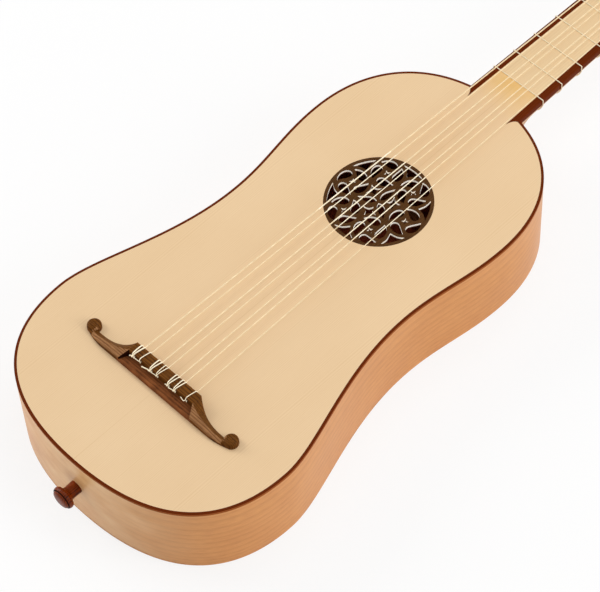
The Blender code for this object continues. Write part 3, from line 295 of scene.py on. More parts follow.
def surface(name, follow):
    """A new look's net, its shader and the place on the surface that patterns read."""
    net = new_look(name)
    if follow:
        spot = net.shade("UVMap", uv_map="along")
        spot = net.xyz(net.part(spot, 1), net.part(spot, 0))
    else:
        spot = net.add("ShaderNodeTexCoord").outputs["Object"]
    return net, net.tree.nodes["Principled BSDF"].inputs, spot


def finish_look(net, shader, spot, colour, roughness, height, relief):
    """Join a colour, an uneven roughness and a relief to a look's shader."""
    net.join(colour, shader["Base Color"])
    net.join(net.shade("Group", {"Vector": spot, "Roughness": roughness}, node_tree=POLISH),
             shader["Roughness"])
    net.join(net.shade("Bump", {"Height": height, "Distance": relief, "Strength": 1.0}),
             shader["Normal"])


def wood(name, light, dark, spacing, rings, fibres, figure, roughness, shine, fibre=(0.0004, 0.012),
         figure_size=0.05, seed=0.0, wander=0.002, coat=0.0, follow=False, turn=(0, 0, 0),
         bookmatched=False, seam=0.0, stain_and_light=None):
    """A wood whose rings, fibres and figure shift it from its light to its dark colour.

    Spacing is from ring to ring, and fibre a fibre's width and length. The tint along the grain, used for
    colour the wood really has and for painted light, gives where along the grain it starts and where it is
    full, how strong it gets there, and its tint.
    """
    net, shader, spot = surface(name, follow)
    light, dark, place = linear(light), linear(dark), spot
    if bookmatched:
        off_centre = net.math("ABSOLUTE", net.part(spot, 0))
        spot = net.xyz(off_centre, net.part(spot, 1), net.part(spot, 2))
    spot = net.shade("Mapping", {0: spot, "Rotation": turn})
    grain = net.add("ShaderNodeGroup", {
        "Vector": spot, "Ring Spacing": spacing, "Wander": wander, "Fibre Width": fibre[0],
        "Fibre Length": fibre[1], "Figure Size": figure_size, "Seed": seed}, node_tree=GRAIN).outputs
    ringed = net.math("MULTIPLY", grain["Rings"], rings)
    share = net.math("MULTIPLY_ADD", net.math("SUBTRACT", grain["Fibres"], 0.5), fibres, ringed)
    share = net.math("MULTIPLY_ADD", net.math("SUBTRACT", grain["Figure"], 0.5), figure, share)
    colour = net.blend(net.range(share, -0.5, 1.0), light, dark)
    if seam:
        glue = net.math("MULTIPLY", net.range(off_centre, 0.0, 0.00035, 1.0, 0.0, smooth=True), seam)
        colour = net.blend(glue, colour, dark)
    if stain_and_light:
        start, full, strength, tint = stain_and_light
        cloud = net.range(net.noise(net.scaled(place, (60.0, 30.0, 60.0)), 3.0), 0.3, 0.7, 0.3, 1.0)
        stain_and_light_share = net.range(net.part(place, 1), start, full, 0.0, strength, smooth=True)
        colour = net.blend(net.math("MULTIPLY", stain_and_light_share, cloud), colour, linear(tint))
    height = net.math("MULTIPLY_ADD", grain["Fibres"], fibres, ringed)
    finish_look(net, shader, spot, colour, roughness, height, 0.00002)
    net.join(shine, shader["Specular IOR Level"])
    net.join(coat, shader["Coat Weight"])
    net.join(0.12, shader["Coat Roughness"])


def plain_stuff(name, light, dark, scale, roughness, relief, follow=True, under=None, painted_glow=0.0):
    """Bone, gut and parchment: a pale stuff with soft streaks, turning to a brown colour below a set depth
    where under is a colour.

    It glows by the given amount: painted light that brightens it where it lies in shade.
    """
    net, shader, spot = surface(name, follow)
    streaks = net.noise(net.scaled(spot, scale), 3.0)
    colour = net.blend(net.range(streaks, 0.3, 0.7), linear(light), linear(dark))
    if under:
        edge = net.range(net.part(spot, 2), TOP - 0.0019, TOP - 0.0017)
        colour = net.blend(edge, linear(under), colour)
    if painted_glow:
        net.join(colour, shader["Emission Color"])
        net.join(painted_glow, shader["Emission Strength"])
    finish_look(net, shader, spot, colour, roughness, streaks, relief)


def make_looks():
    crossways = (0, 0, radians(90))
    upright = (radians(90), 0, 0)
    wood("spruce", (250, 221, 180), (212, 170, 116), 0.00095, 0.24, 0.28, 0.4, 0.42, 0.35,
         (0.0003, 0.02), 0.08, wander=0.004, bookmatched=True, seam=0.35,
         stain_and_light=(0.176, 0.203, 0.9, (238, 192, 106)))
    # The ribs are tinted paler toward the tail: painted light.
    wood("rib_wood", (237, 169, 98), (166, 88, 29), 0.0052, 0.16, 1.0, 0.35, 0.4, 0.22, (0.0005, 0.008),
         0.03, 3.0, 0.012, 0.06, follow=True, stain_and_light=(0.1, 0.0, 0.9, (255, 214, 158)))
    wood("back_wood", (237, 169, 98), (166, 88, 29), 0.0052, 0.2, 1.1, 0.7, 0.4, 0.22, (0.0009, 0.022),
         0.05, 5.0, 0.012, 0.06, bookmatched=True)
    # The back's inner face is painted darker and redder than its outer face: painted shade inside the
    # closed body.
    wood("box_inside", (176, 76, 44), (112, 40, 20), 0.0052, 0.2, 1.1, 0.7, 0.7, 0.1, (0.0009, 0.022),
         0.05, 5.0, 0.012, bookmatched=True)
    wood("inner_wood", (168, 108, 66), (112, 62, 34), 0.0016, 0.5, 0.6, 0.4, 0.75, 0.2, seed=7.0)
    wood("neck_wood", (228, 186, 136), (178, 122, 72), 0.0035, 0.35, 0.8, 0.4, 0.4, 0.3, (0.0006, 0.02),
         seed=11.0, wander=0.004, coat=0.1)
    wood("fingerboard_wood", (250, 224, 180), (216, 178, 128), 0.0015, 0.2, 0.4, 0.35, 0.45, 0.35,
         (0.0003, 0.03), seed=13.0)
    # The binding's side faces get a lighter copy of the dark wood: painted light.
    for name, light, dark in (("dark_wood", (116, 46, 6), (70, 20, 0)),
                              ("edge_wood", (178, 98, 44), (112, 48, 10))):
        wood(name, light, dark, 0.001, 0.3, 0.8, 0.4, 0.5, 0.04, (0.0002, 0.01), 0.03, 17.0, follow=True)
    wood("veneer", (112, 40, 12), (64, 17, 3), 0.001, 0.4, 0.9, 0.4, 0.4, 0.1, (0.0002, 0.012), 0.03,
         19.0, coat=0.08)
    wood("walnut", (130, 79, 28), (38, 14, 0), 0.0017, 0.6, 2.0, 0.5, 0.5, 0.06, (0.0006, 0.009), 0.012,
         23.0, turn=crossways)
    # A lighter copy of the walnut for the arms' back slopes: painted light.
    wood("walnut_top", (196, 144, 96), (90, 48, 22), 0.0017, 0.6, 2.1, 0.5, 0.55, 0.08,
         (0.0006, 0.009), 0.012, 23.0, turn=crossways)
    # A near-black walnut for the pocket's end walls: painted shade.
    wood("walnut_end", (50, 18, 4), (14, 4, 0), 0.0011, 0.5, 1.2, 0.4, 0.6, 0.03, (0.00026, 0.005),
         0.012, 25.0)
    wood("walnut_ledge", (152, 90, 48), (56, 22, 2), 0.0019, 0.5, 1.8, 1.2, 0.5, 0.06, (0.0008, 0.007),
         0.007, 27.0, turn=crossways)
    wood("rose_brown", (98, 62, 26), (40, 21, 4), 0.0014, 0.4, 1.6, 0.8, 0.5, 0.08, (0.0005, 0.006),
         0.01, 29.0)
    wood("pin_wood", (150, 62, 8), (48, 5, 0), 0.0012, 0.6, 1.8, 1.2, 0.3, 0.08, (0.0005, 0.005), 0.005,
         31.0, coat=0.12)
    # The groove's wood is painted near black: painted shade in the groove.
    wood("pin_groove", (44, 10, 0), (16, 2, 0), 0.0012, 0.5, 1.0, 0.5, 0.5, 0.03, (0.0004, 0.006),
         seed=31.0)
    wood("peg_wood", (92, 46, 26), (42, 16, 8), 0.0012, 0.5, 0.8, 0.5, 0.28, 0.25, (0.0003, 0.006),
         0.008, 37.0, coat=0.35, turn=upright)
    # The parchment glows: painted light on the shaded walls of the rose's openings.
    plain_stuff("parchment", (255, 253, 246), (252, 242, 228), (900.0, 900.0, 900.0), 0.7, 0.00002,
                follow=False, under=(84, 44, 24), painted_glow=0.22)
    plain_stuff("bone", (240, 230, 208), (220, 204, 174), (90.0, 1500.0, 900.0), 0.35, 0.00001,
                follow=False)
    # The second gut is painted paler and glows: painted light on the ties and over the rose, where no warm
    # light comes up from the board.
    for name, light, dark, painted_glow in (("gut", (254, 233, 192), (240, 212, 166), 0.0),
                                    ("tie_gut", (255, 248, 222), (254, 236, 200), 0.12),
                                    # The fret gut is painted paler than the strings' gut: painted light
                                    # against the shade on the thin loops.
                                    ("fret_gut", (255, 244, 216), (248, 230, 192), 0.0)):
        plain_stuff(name, light, dark, (300.0, 220.0, 300.0), 0.35, 0.00001, painted_glow=painted_glow)


make_looks()


def new_object(name, data):
    made = bpy.data.objects.new(name, data)
    bpy.context.scene.collection.objects.link(made)
    return made


def piece(mesh, look, node, body="guitar"):
    """Show a finished mesh as a piece that rides on a body and stands for a CAD node."""
    made = new_object(mesh.name, mesh)
    if not mesh.materials:
        mesh.materials.append(LOOKS[look])
    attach(made, body)
    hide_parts(node)


def paint(mesh, looks, which):
    """Add looks to a mesh; which gives each face its look's place among all of the mesh's looks."""
    for look in looks:
        mesh.materials.append(LOOKS[look])
    for face in mesh.polygons:
        face.material_index = int(which(face))


def finish_mesh(bm, name, sharp=35.0):
    bmesh.ops.recalc_face_normals(bm, faces=bm.faces)
    mesh = bpy.data.meshes.new(name)
    bm.to_mesh(mesh)
    bm.free()
    mesh.shade_smooth()
    mesh.set_sharp_from_angle(angle=radians(sharp))
    return mesh


def distances(points):
    """How far each point of a line lies from its start, along the line."""
    far = [0.0]
    for a, b in zip(points, points[1:]):
        far.append(far[-1] + (b - a).length)
    return far


def skin(bm, near, far):
    """The faces between two closed rings of corners."""
    corners = list(zip(near, far))
    return [bm.faces.new((a, c, d, b)) for (a, b), (c, d) in zip(corners, corners[1:] + corners[:1])]


def join_sections(bm, sections):
    """Join sections of 3D points one after another; the UV map measures along and round."""
    layer = bm.loops.layers.uv.new("along")
    sections = [[Vector(p) for p in section] for section in sections]
    middle = sections[len(sections) // 2]
    along = distances([sum(section, Vector()) / len(section) for section in sections])
    around = distances(middle + middle[:1])
    rings = [[bm.verts.new(p) for p in section] for section in sections]
    for k, (near, far) in enumerate(zip(rings, rings[1:])):
        for i, face in enumerate(skin(bm, near, far)):
            spots = ((k, i), (k, i + 1), (k + 1, i + 1), (k + 1, i))
            for loop, (a, b) in zip(face.loops, spots):
                loop[layer].uv = (along[a], around[b])
    for end in (0, -1):
        for loop, across in zip(bm.faces.new(rings[end]).loops, around):
            loop[layer].uv = (along[end], across)


def loft(name, sections, sharp=35.0):
    bm = bmesh.new()
    join_sections(bm, sections)
    return finish_mesh(bm, name, sharp)


def plate(name, outline, bottom, top, soften=0.0):
    """A flat piece between two heights, its top edge softened."""
    bm = bmesh.new()
    low, high = ([bm.verts.new((x, y, z)) for x, y in outline] for z in (bottom, top))
    bm.faces.new(low)
    cap = bm.faces.new(high)
    skin(bm, low, high)
    if soften:
        bmesh.ops.bevel(bm, geom=list(cap.edges), offset=soften, segments=3, affect="EDGES", profile=0.5)
    return finish_mesh(bm, name)


def turned(profile, steps, matrix):
    """Rings of a profile of (height, radius) or (height, radius_x, radius_y), placed by a matrix."""
    angles = [2 * pi * i / steps for i in range(steps)]
    return [[matrix @ Vector((radius * cos(angle), (*rest, radius)[0] * sin(angle), height))
             for angle in angles] for height, radius, *rest in profile]


def in_mm(*points):
    return [Vector([part / 1000 for part in point] + [0.0]) for point in points]


def smooth_line(points, steps):
    """A curve through the points, with a number of steps between each two."""
    points = [Vector(p) for p in points]
    last = len(points) - 1
    line = []
    for i in range(last):
        a, b, c, d = (points[min(max(i + k, 0), last)] for k in (-1, 0, 1, 2))
        for j in range(steps):
            t = j / steps
            line.append(0.5 * (2 * b + (c - a) * t + (2 * a - 5 * b + 4 * c - d) * t * t
                               + (3 * b - a - 3 * c + d) * t ** 3))
    return line + [points[-1]]


def bezier(points, t):
    a, b, c, d = (Vector(p) for p in points)
    s = 1 - t
    return a * s ** 3 + b * 3 * s * s * t + c * 3 * s * t * t + d * t ** 3


def mirrored(points, side):
    return [(side * p[0], *p[1:]) for p in points]


def outline_point(t, inset=0.0):
    """A point of the treble half outline, t from 0 at the tail to 4 at the neck."""
    if t <= 0:
        return (0.0, TAIL_Y + inset)
    if t >= 4:
        return (0.0, TOP_Y - inset)
    curve = [Vector(p) for p in OUTLINE[3 * int(t):3 * int(t) + 4]]
    u = t - int(t)
    s = 1 - u
    place = bezier(curve, u)
    along = ((curve[1] - curve[0]) * s * s + (curve[2] - curve[1]) * 2 * s * u
             + (curve[3] - curve[2]) * u * u).normalized()
    return (place.x - along.y * inset, place.y + along.x * inset + TAIL_Y)


def outline_where(half_width, inset):
    """The t in the neck shoulder where the inset outline is that far from the centre line."""
    low, high = 3.0, 4.0
    for _ in range(40):
        middle = (low + high) / 2
        if outline_point(middle, inset)[0] > half_width:
            low = middle
        else:
            high = middle
    return low


def outline_line(inset, end=4.0):
    count = int(end * OUTLINE_STEPS)
    line = [outline_point(i / OUTLINE_STEPS, inset) for i in range(count + 1)]
    return line + ([outline_point(end, inset)] if count < end * OUTLINE_STEPS else [])


def neck_half(y):
    return between(NECK_HALF_AT_BODY, NECK_HALF_AT_NUT, (y - NECK_ROOT_Y) / (NUT_Y - NECK_ROOT_Y))


def board_half(y):
    return neck_half(y) - STRIP_WIDTH


def fret_y(number):
    return BRIDGE_Y + STRING_LENGTH / 2 ** (number / 12)


# Where the ribs and the binding meet a dark strip, and where the strip's tip ends on the soundboard
RIB_Y = outline_point(outline_where(NECK_HALF_AT_BODY, 0.0))[1]
JUNCTION_Y = RIB_Y - BINDING_WIDTH
TIP_Y = RIB_Y - STRIP_TIP


def tip_curve():
    """The hollow curve from a dark strip's tip out to the binding."""
    tip = Vector((board_half(TIP_Y) + 0.0001, TIP_Y))
    junction = Vector((neck_half(JUNCTION_Y), JUNCTION_Y))
    bend = Vector((between(tip.x, junction.x, 0.3), between(junction.y, tip.y, 0.1)))
    return [tuple(tip * (1 - t) ** 2 + bend * 2 * t * (1 - t) + junction * t * t)
            for t in (i / 14 for i in range(15))]


def make_soundboard():
    outline = outline_line(BINDING_WIDTH, outline_where(neck_half(JUNCTION_Y), BINDING_WIDTH))
    outline += [p for p in reversed(tip_curve()) if p[1] < outline[-1][1] - 0.0001]
    outline += [(board_half(fret_y(FRETS)), fret_y(FRETS)), (0.0, fret_y(FRETS))]
    for i in range(ROSE_STEPS + 1):
        angle = pi * i / ROSE_STEPS
        x = ROSE_RADIUS * sin(angle) if 0 < i < ROSE_STEPS else 0.0
        outline.append((x, ROSE_Y + ROSE_RADIUS * cos(angle)))
    for side, end in SIDES:
        mesh = plate("front_" + end, mirrored(outline, side), TOP - SOUNDBOARD, TOP)
        piece(mesh, "spruce", "soundboard_" + end)


def bent_strip(name, section, end, side, sharp=35.0, hidden_end=0.0):
    """A strip along the half outline; the section gives (inset, height) points.

    Past its end it may run on to a hidden end, sunk a hair into what covers it.
    """
    places = [i / OUTLINE_STEPS for i in range(4 * OUTLINE_STEPS + 1)]
    stations = [(t, 0.0) for t in places if t < end - 0.005] + [(end, 0.0)]
    if hidden_end > end:
        stations += [(end + 0.001, 0.00005), (hidden_end, 0.00005)]
    sections = []
    for t, sunk in stations:
        spots = [(outline_point(t, inset), height) for inset, height in section]
        sections.append([(side * x, y, height - sunk) for (x, y), height in spots])
    return loft(name, sections, sharp)


def make_sides():
    low, high = BACK, TOP - BINDING_DEPTH
    soft = 0.0002
    rib = [(0.0, low), (0.0, high), (RIB, high), (RIB, low)]
    band = [(0.0, high), (0.0, TOP - soft), (0.3 * soft, TOP - 0.3 * soft), (soft, TOP),
            (BINDING_WIDTH, TOP), (BINDING_WIDTH, high)]
    end = outline_where(neck_half(JUNCTION_Y), BINDING_WIDTH)
    hidden_end = outline_where(neck_half(JUNCTION_Y) - 0.004, 0.001)
    for side, name in SIDES:
        piece(bent_strip("side_" + name, rib, 4.0, side), "rib_wood", "rib_" + name)
        edging = bent_strip("edging_" + name, band, end, side, 50.0, hidden_end)
        # Faces that are not on top take the lighter copy: painted light.
        paint(edging, ("dark_wood", "edge_wood"), lambda face: face.normal.z < 0.3)
        piece(edging, "dark_wood", "binding_" + name)
    half = outline_line(0.0)
    mesh = plate("back_plate", half + mirrored(half[1:-1], -1)[::-1], 0.0, BACK)
    # The inner face takes the darker copy: painted shade.
    paint(mesh, ("back_wood", "box_inside"), lambda face: face.normal.z > 0.5)
    piece(mesh, "back_wood", "back")


def polar(distance, degrees, centre=(0.0, 0.0)):
    angle = radians(degrees)
    return Vector((centre[0] + distance * sin(angle), centre[1] + distance * cos(angle), 0.0))


def comma(centre, heading):
    """A comma-shaped opening that curls round a whorl's centre, from its tip by its hollow side."""
    shape = ((10.1, -7), (8.2, -1), (6.5, 7), (5.2, 18), (4.4, 33), (4.1, 50), (4.6, 65), (6.1, 73.5),
             (7.9, 71), (9.3, 62), (10.2, 47), (10.5, 29), (10.4, 10))
    points = [polar(r / 1000, heading + a, centre) for r, a in shape]
    return smooth_line(points + points[:1], 4)[:-1]


def hollow_star(points, hollow):
    """A star whose sides are drawn in toward its middle."""
    middle = sum(points, Vector()) / len(points)
    line = []
    for a, b in zip(points, points[1:] + points[:1]):
        bend = between((a + b) / 2, middle, hollow)
        line += smooth_line([a, bend, b], 3)[:-1]
    return line


def outer_openings():
    """What the rose repeats six times: a whorl with its star, and a corner by the rim."""
    centre = polar(WHORL_FROM_CENTRE, 30)
    shapes = [comma(centre, 90 * k) for k in range(4)]
    shapes.append(hollow_star([polar(0.0027, 90 * k - 3, centre) for k in range(4)], 0.5))
    rim = [polar(0.0327, a) for a in (46, 53, 60, 67, 74)]
    left, middle, right = polar(0.0297, 66.5), polar(0.0256, 59.8), polar(0.0297, 53)
    shapes.append(smooth_line(rim, 2)[:-1] + smooth_line([rim[-1], left, middle], 4)[:-1]
                  + smooth_line([middle, right, rim[0]], 4)[:-1])
    return shapes


def inner_openings():
    """What the rose repeats three times: a leaf and a larger star."""
    leaf = in_mm((0.3, 1.1), (-1.4, 3), (-2.2, 5.8), (-1.6, 8.8), (-0.4, 11.4), (1.1, 14.2),
                 (1.8, 11.4), (2.5, 8.7), (2.7, 5.8), (1.9, 3))
    left = smooth_line(leaf[:6], 4)[:-1]
    right = smooth_line(leaf[5:] + leaf[:1], 4)[:-1]
    star = in_mm((0.6, -5), (-5.1, -9.1), (0.5, -14.1), (6.2, -8.7))
    return [left + right, hollow_star(star, 0.42)]


def flat_curve(name, shapes):
    curve = bpy.data.curves.new(name, "CURVE")
    curve.dimensions = "2D"
    curve.fill_mode = "NONE"
    for shape in shapes:
        spline = curve.splines.new("POLY")
        spline.points.add(len(shape) - 1)
        for point, place in zip(spline.points, shape):
            point.co = (place.x, place.y, 0.0, 1.0)
        spline.use_cyclic_u = True
    return new_object(name, curve)


def geometry_tree(name, inputs):
    return new_tree(name, "Geometry", {"Geometry": "Geometry", **inputs}, ["Geometry"])


def finish_tree(net, given, made, shape):
    """End a tree with real geometry that has the given material."""
    shape = net.shape("RealizeInstances", {0: shape})
    net.join(net.shape("SetMaterial", {"Geometry": shape, "Material": given["Material"]}), made[0])


def make_turn_tree():
    """Copies of a shape, turned evenly round the middle."""
    net, given, made, _ = geometry_tree("turned copies", {"Count": "Int"})
    step = net.math("DIVIDE", -2 * pi, given["Count"])
    turn = net.xyz(0.0, 0.0, net.math("MULTIPLY", net.shape("InputIndex"), step))
    copies = net.shape("InstanceOnPoints", {
        "Points": net.shape("Points", {"Count": given["Count"]}), "Instance": given["Geometry"],
        "Rotation": turn})
    net.join(net.shape("RealizeInstances", {0: copies}), made[0])
    return net.tree


def make_rose_tree():
    """A round plate pierced by six outer and three inner sets of openings."""
    net, given, made, names = geometry_tree("pierced rose", {
        "Inner Openings": "Object", "Thickness": "Float", "Top": "Float", "Material": "Material"})
    turn = make_turn_tree()
    source = net.add("GeometryNodeObjectInfo", {0: given["Inner Openings"]}).outputs["Geometry"]
    outer, inner = (net.shape("Group", {0: shape, 1: count}, node_tree=turn)
                    for shape, count in ((given["Geometry"], 6), (source, 3)))
    rim = net.shape("CurvePrimitiveCircle", {"Resolution": 2 * ROSE_STEPS, "Radius": ROSE_RADIUS})
    sheet = net.shape("FillCurve", {0: net.together(rim, outer, inner)})
    walls = net.shape("ExtrudeMesh", {
        "Mesh": sheet, "Offset": net.xyz(0.0, 0.0, 1.0), "Offset Scale": given["Thickness"],
        "Individual": False})
    whole = net.together(walls, net.shape("FlipFaces", {0: sheet}))
    shift = net.xyz(0.0, ROSE_Y, net.math("SUBTRACT", given["Top"], given["Thickness"]))
    placed = net.shape("Transform", {"Geometry": whole, "Translation": shift})
    finish_tree(net, given, made, net.shape("MergeByDistance", {"Geometry": placed, "Distance": 0.000001}))
    return net.tree, names


def make_gut_tree():
    """A round gut string along a path, open or closed."""
    net, given, made, names = geometry_tree("gut along a path", {
        "Radius": "Float", "Sides": "Int", "Material": "Material"})
    path = net.shape("MeshToCurve", {0: given["Geometry"]})
    length = net.add("GeometryNodeSplineParameter").outputs["Length"]
    kept = net.shape("StoreNamedAttribute", {"Geometry": path, "Name": "far", "Value": length},
                     data_type="FLOAT", domain="POINT")
    profile = net.shape("CurvePrimitiveCircle", {"Resolution": given["Sides"], "Radius": given["Radius"]})
    tube = net.shape("CurveToMesh", {"Curve": kept, "Profile Curve": profile, "Fill Caps": True})
    far = net.shape("InputNamedAttribute", {"Name": "far"}, data_type="FLOAT")
    mapped = net.shape("StoreNamedAttribute", {
        "Geometry": net.shape("SetShadeSmooth", {0: tube}), "Name": "along", "Value": net.xyz(far)},
        data_type="FLOAT2", domain="CORNER")
    finish_tree(net, given, made, mapped)
    return net.tree, names


def applied(holder, recipe, values, name):
    """What a geometry tree and its inputs' names make of an object, as a mesh; the object goes."""
    modifier = holder.modifiers.new("shape", "NODES")
    modifier.node_group, names = recipe
    for label, value in values.items():
        modifier[names[label]] = value
    graph = bpy.context.evaluated_depsgraph_get()
    mesh = bpy.data.meshes.new_from_object(holder.evaluated_get(graph), depsgraph=graph)
    mesh.name = name
    bpy.data.objects.remove(holder, do_unlink=True)
    return mesh


def make_rose():
    recipe = make_rose_tree()
    for name, node, look, thickness, top in (
            ("rose_veneer", "rose_face", "rose_brown", ROSE_FACE, TOP),
            ("rose_body", "rose_core", "parchment", ROSE_CORE, TOP - ROSE_FACE)):
        inner = flat_curve(name + "_inner", inner_openings())
        mesh = applied(flat_curve(name + "_lines", outer_openings()), recipe, {
            "Inner Openings": inner, "Thickness": thickness, "Top": top, "Material": LOOKS[look]}, name)
        bpy.data.objects.remove(inner, do_unlink=True)
        piece(mesh, look, node)


GUT_RECIPE = make_gut_tree()


def gut_mesh(name, paths, radius, sides=12, ring=False, look="gut"):
    """Gut along one or more paths of points, as one mesh."""
    bm = bmesh.new()
    for path in paths:
        verts = [bm.verts.new(p) for p in path]
        for a, b in zip(verts, verts[1:]):
            bm.edges.new((a, b))
        if ring:
            bm.edges.new((verts[-1], verts[0]))
    mesh = bpy.data.meshes.new(name + "_path")
    bm.to_mesh(mesh)
    bm.free()
    return applied(new_object(name + "_path", mesh), GUT_RECIPE, {
        "Radius": radius, "Sides": sides, "Material": LOOKS[look]}, name)


def string_places(span):
    """The strings across a span: three pairs on the bass side, then one single string."""
    unit = span / (3 * PAIR_SHARE + 3)
    places = [-span / 2]
    for _ in range(3):
        places.append(places[-1] + unit * PAIR_SHARE)
        places.append(places[-1] + unit)
    return places


BRIDGE_STRINGS = string_places(BRIDGE_SPAN)
NUT_STRINGS = string_places(NUT_SPAN)


def peg_places():
    """Where the pegs stand on the head, the outer strings' pegs nearest the nut."""
    bass = [(-PEG_FROM_CENTRE, PEG_SPACING * (1 + i), 0) for i in range(BASS_PEGS)]
    treble = [(PEG_FROM_CENTRE, PEG_SPACING * (3.5 - i), 0) for i in range(len(STRING_RADII) - BASS_PEGS)]
    return [HEAD_PLACE @ Matrix.Translation(spot) for spot in bass + treble]


def peg_radius(height):
    return PEG_RADIUS - PEG_TAPER * height


def winding_path(number):
    """Tight turns of a string on its peg, from the lowest, where it comes on from the nut."""
    radius = STRING_RADII[number]
    low = WINDING_Z - (2 * radius + WINDING_ROOM)
    inward, way = (0.0, 1) if number < BASS_PEGS else (pi, -1)
    points = []
    for i in range(WINDING_TURNS * WINDING_STEPS + 1):
        height = low + 2.06 * radius * i / WINDING_STEPS
        out = peg_radius(height) + radius
        angle = inward + way * 2 * pi * i / WINDING_STEPS
        points.append(Vector((out * cos(angle), out * sin(angle), height)))
    last = points[-1]
    tail = (last - points[-2]).normalized() * 0.0012 + Vector((last.x, last.y, 0)).normalized() * 0.0003
    points += [last + tail + Vector((0, 0, 0.0002)), last + tail * 2 + Vector((0, 0, 0.0007))]
    return points


def tie_paths(number):
    """How a string is tied: up behind the bar, over it, back over it, and its end tucked in.

    Strings 2 and 7 go over it once.
    """
    radius = STRING_RADII[number]
    x = BRIDGE_STRINGS[number]
    top = BAR_TOP + radius
    out = radius + 0.0001
    behind, ahead = BAR_BACK - out, BRIDGE_Y + out
    back_edge = (behind - 0.3 * out, BAR_TOP - 0.0010)
    front_edge = (ahead, BAR_TOP - 0.0006)
    over_back = (BAR_BACK + 0.0010, top)
    tucked = (x - TIE_REACH[number], BAR_BACK - TIE_SWING[number], HOLE_Z)
    rise = [(x, ahead, HOLE_Z), (x, BAR_BACK, HOLE_Z), (x + 0.0003, behind - out, HOLE_Z - 0.0002)]
    if number in (1, 6):
        turn = 0.0009 if number == 6 else 0.0
        strand = [(x - 0.0006, *back_edge), (x - 0.0005, *over_back), (x + 0.0004, BRIDGE_Y - 0.0010, top),
                  (x + 0.0006, *front_edge), (x + 0.0005, ahead, HOLE_Z + 2 * radius)]
        tail = [(x - 0.0006, *back_edge), (x - 0.0009, behind - out, HOLE_Z + 0.0004),
                (x - 0.0015, behind - out - turn, HOLE_Z + 0.0001), tucked]
        return [smooth_line(rise + strand, 5), smooth_line(tail, 5)]
    over_front = (BRIDGE_Y - 0.0012, top)
    over = [(x - 0.0011, *back_edge), (x - 0.0012, *over_back), (x - 0.0012, *over_front),
            (x - 0.0011, *front_edge), (x - out * 1.8, ahead, HOLE_Z + radius)]
    back = [(x, ahead + out, HOLE_Z - 2 * radius), (x + out * 1.8, ahead, HOLE_Z + radius),
            (x + 0.0011, *front_edge), (x + 0.0010, *over_front), (x + 0.0001, *over_back),
            (x - 0.0004, *back_edge), (x - 0.0009, behind - 2 * out, HOLE_Z + 0.0004),
            (x - 0.0019, behind - out, HOLE_Z + 0.0001), tucked]
    return [smooth_line(rise + over, 5), smooth_line([over[-1]] + back, 5)]


def make_strings():
    for number, place in enumerate(peg_places()):
        label = "_%d" % (number + 1)
        radius = STRING_RADII[number]
        coil = [place @ p for p in winding_path(number)]
        start = Vector((BRIDGE_STRINGS[number], BRIDGE_Y, HOLE_Z))
        nut = Vector((NUT_STRINGS[number], NUT_Y, NUT_STRING_Z))
        end = coil[0]
        bend = [nut + (start - nut).normalized() * 0.0015, nut + (end - nut).normalized() * 0.002]
        run = [start.lerp(bend[0], i / 60) for i in range(61)]
        run += smooth_line(bend, 3)[1:] + [end]
        mesh = gut_mesh("gut_string" + label, [run] + tie_paths(number), radius)
        # Ties and the stretch over the rose take the paler, glowing gut: painted light.
        paint(mesh, ["tie_gut"], lambda face: face.center.y < BRIDGE_Y + 0.001 or hypot(
            face.center.x, face.center.y - ROSE_Y) < ROSE_RADIUS)
        piece(mesh, "gut", "string" + label)
        mesh = gut_mesh("turns" + label, [coil], radius, 10)
        piece(mesh, "gut", "winding" + label, "tuning_peg" + label)


def bridge_section(x, pocket):
    """The bridge's section, from its front foot round to its back foot.

    Pocket is 1 behind the bar, where there is a ledge, and 0 on the arms, which have a ridge.
    """
    along = max(abs(x) - BAR_HALF, 0.0)
    arm = min(along / (ARM_NARROW_X - BAR_HALF), 1.0)
    to_scroll = along / (SCROLL_X - BAR_HALF)
    narrow = BRIDGE_BACK + ARM_WIDTH
    front = between(narrow, BRIDGE_Y, (1 - arm) ** ARM_CURVE)
    back = BRIDGE_BACK + ARM_BACK_RISE * max(2 * to_scroll - 1, 0.0) ** 2
    ridge = between(front, back, 0.521 + 0.079 * arm)
    front_top = BRIDGE_FOOT + between(ARM_FRONT_HEIGHT, BAR_HEIGHT, (1 - arm) ** 4)
    ridge_top = BRIDGE_FOOT + between(BAR_HEIGHT, ARM_RIDGE_HEIGHT, arm)
    back_top = BRIDGE_FOOT + between(ARM_BACK_HEIGHT, ARM_BACK_END_HEIGHT, arm)
    soft, foot = 0.0003, TOP - 0.0001

    def ahead(y):
        return between(front_top, ridge_top, (front - y) / (front - ridge))

    def behind(y, ledge=LEDGE_TOP):
        facet = between(ridge_top, back_top, (ridge - y) / (ridge - back))
        return between(facet, ledge, pocket)

    line = [(front, foot), (front, front_top - soft), (front - 0.3 * soft, ahead(front) - 0.3 * soft),
            (front - soft, ahead(front - soft)), (ridge + soft, ahead(ridge + soft)),
            (ridge + 0.3 * soft, ridge_top - 0.25 * soft),
            (ridge, behind(ridge, ridge_top - soft) - 0.25 * soft),
            (ridge - 0.3 * soft, behind(ridge - 0.3 * soft, LEDGE_TOP + soft)),
            (ridge - soft, behind(ridge - soft)), (back + soft, behind(back + soft)),
            (back + 0.3 * soft, behind(back) - 0.3 * soft), (back, behind(back) - soft), (back, foot)]
    slant = copysign(POCKET_SLANT, x) * (1 - min(to_scroll, 1.0)) * min(abs(x) / BAR_HALF, 1.0) ** 3
    return [(x + slant * max(ridge - y, 0.0) / (ridge - back), y, z) for y, z in line]


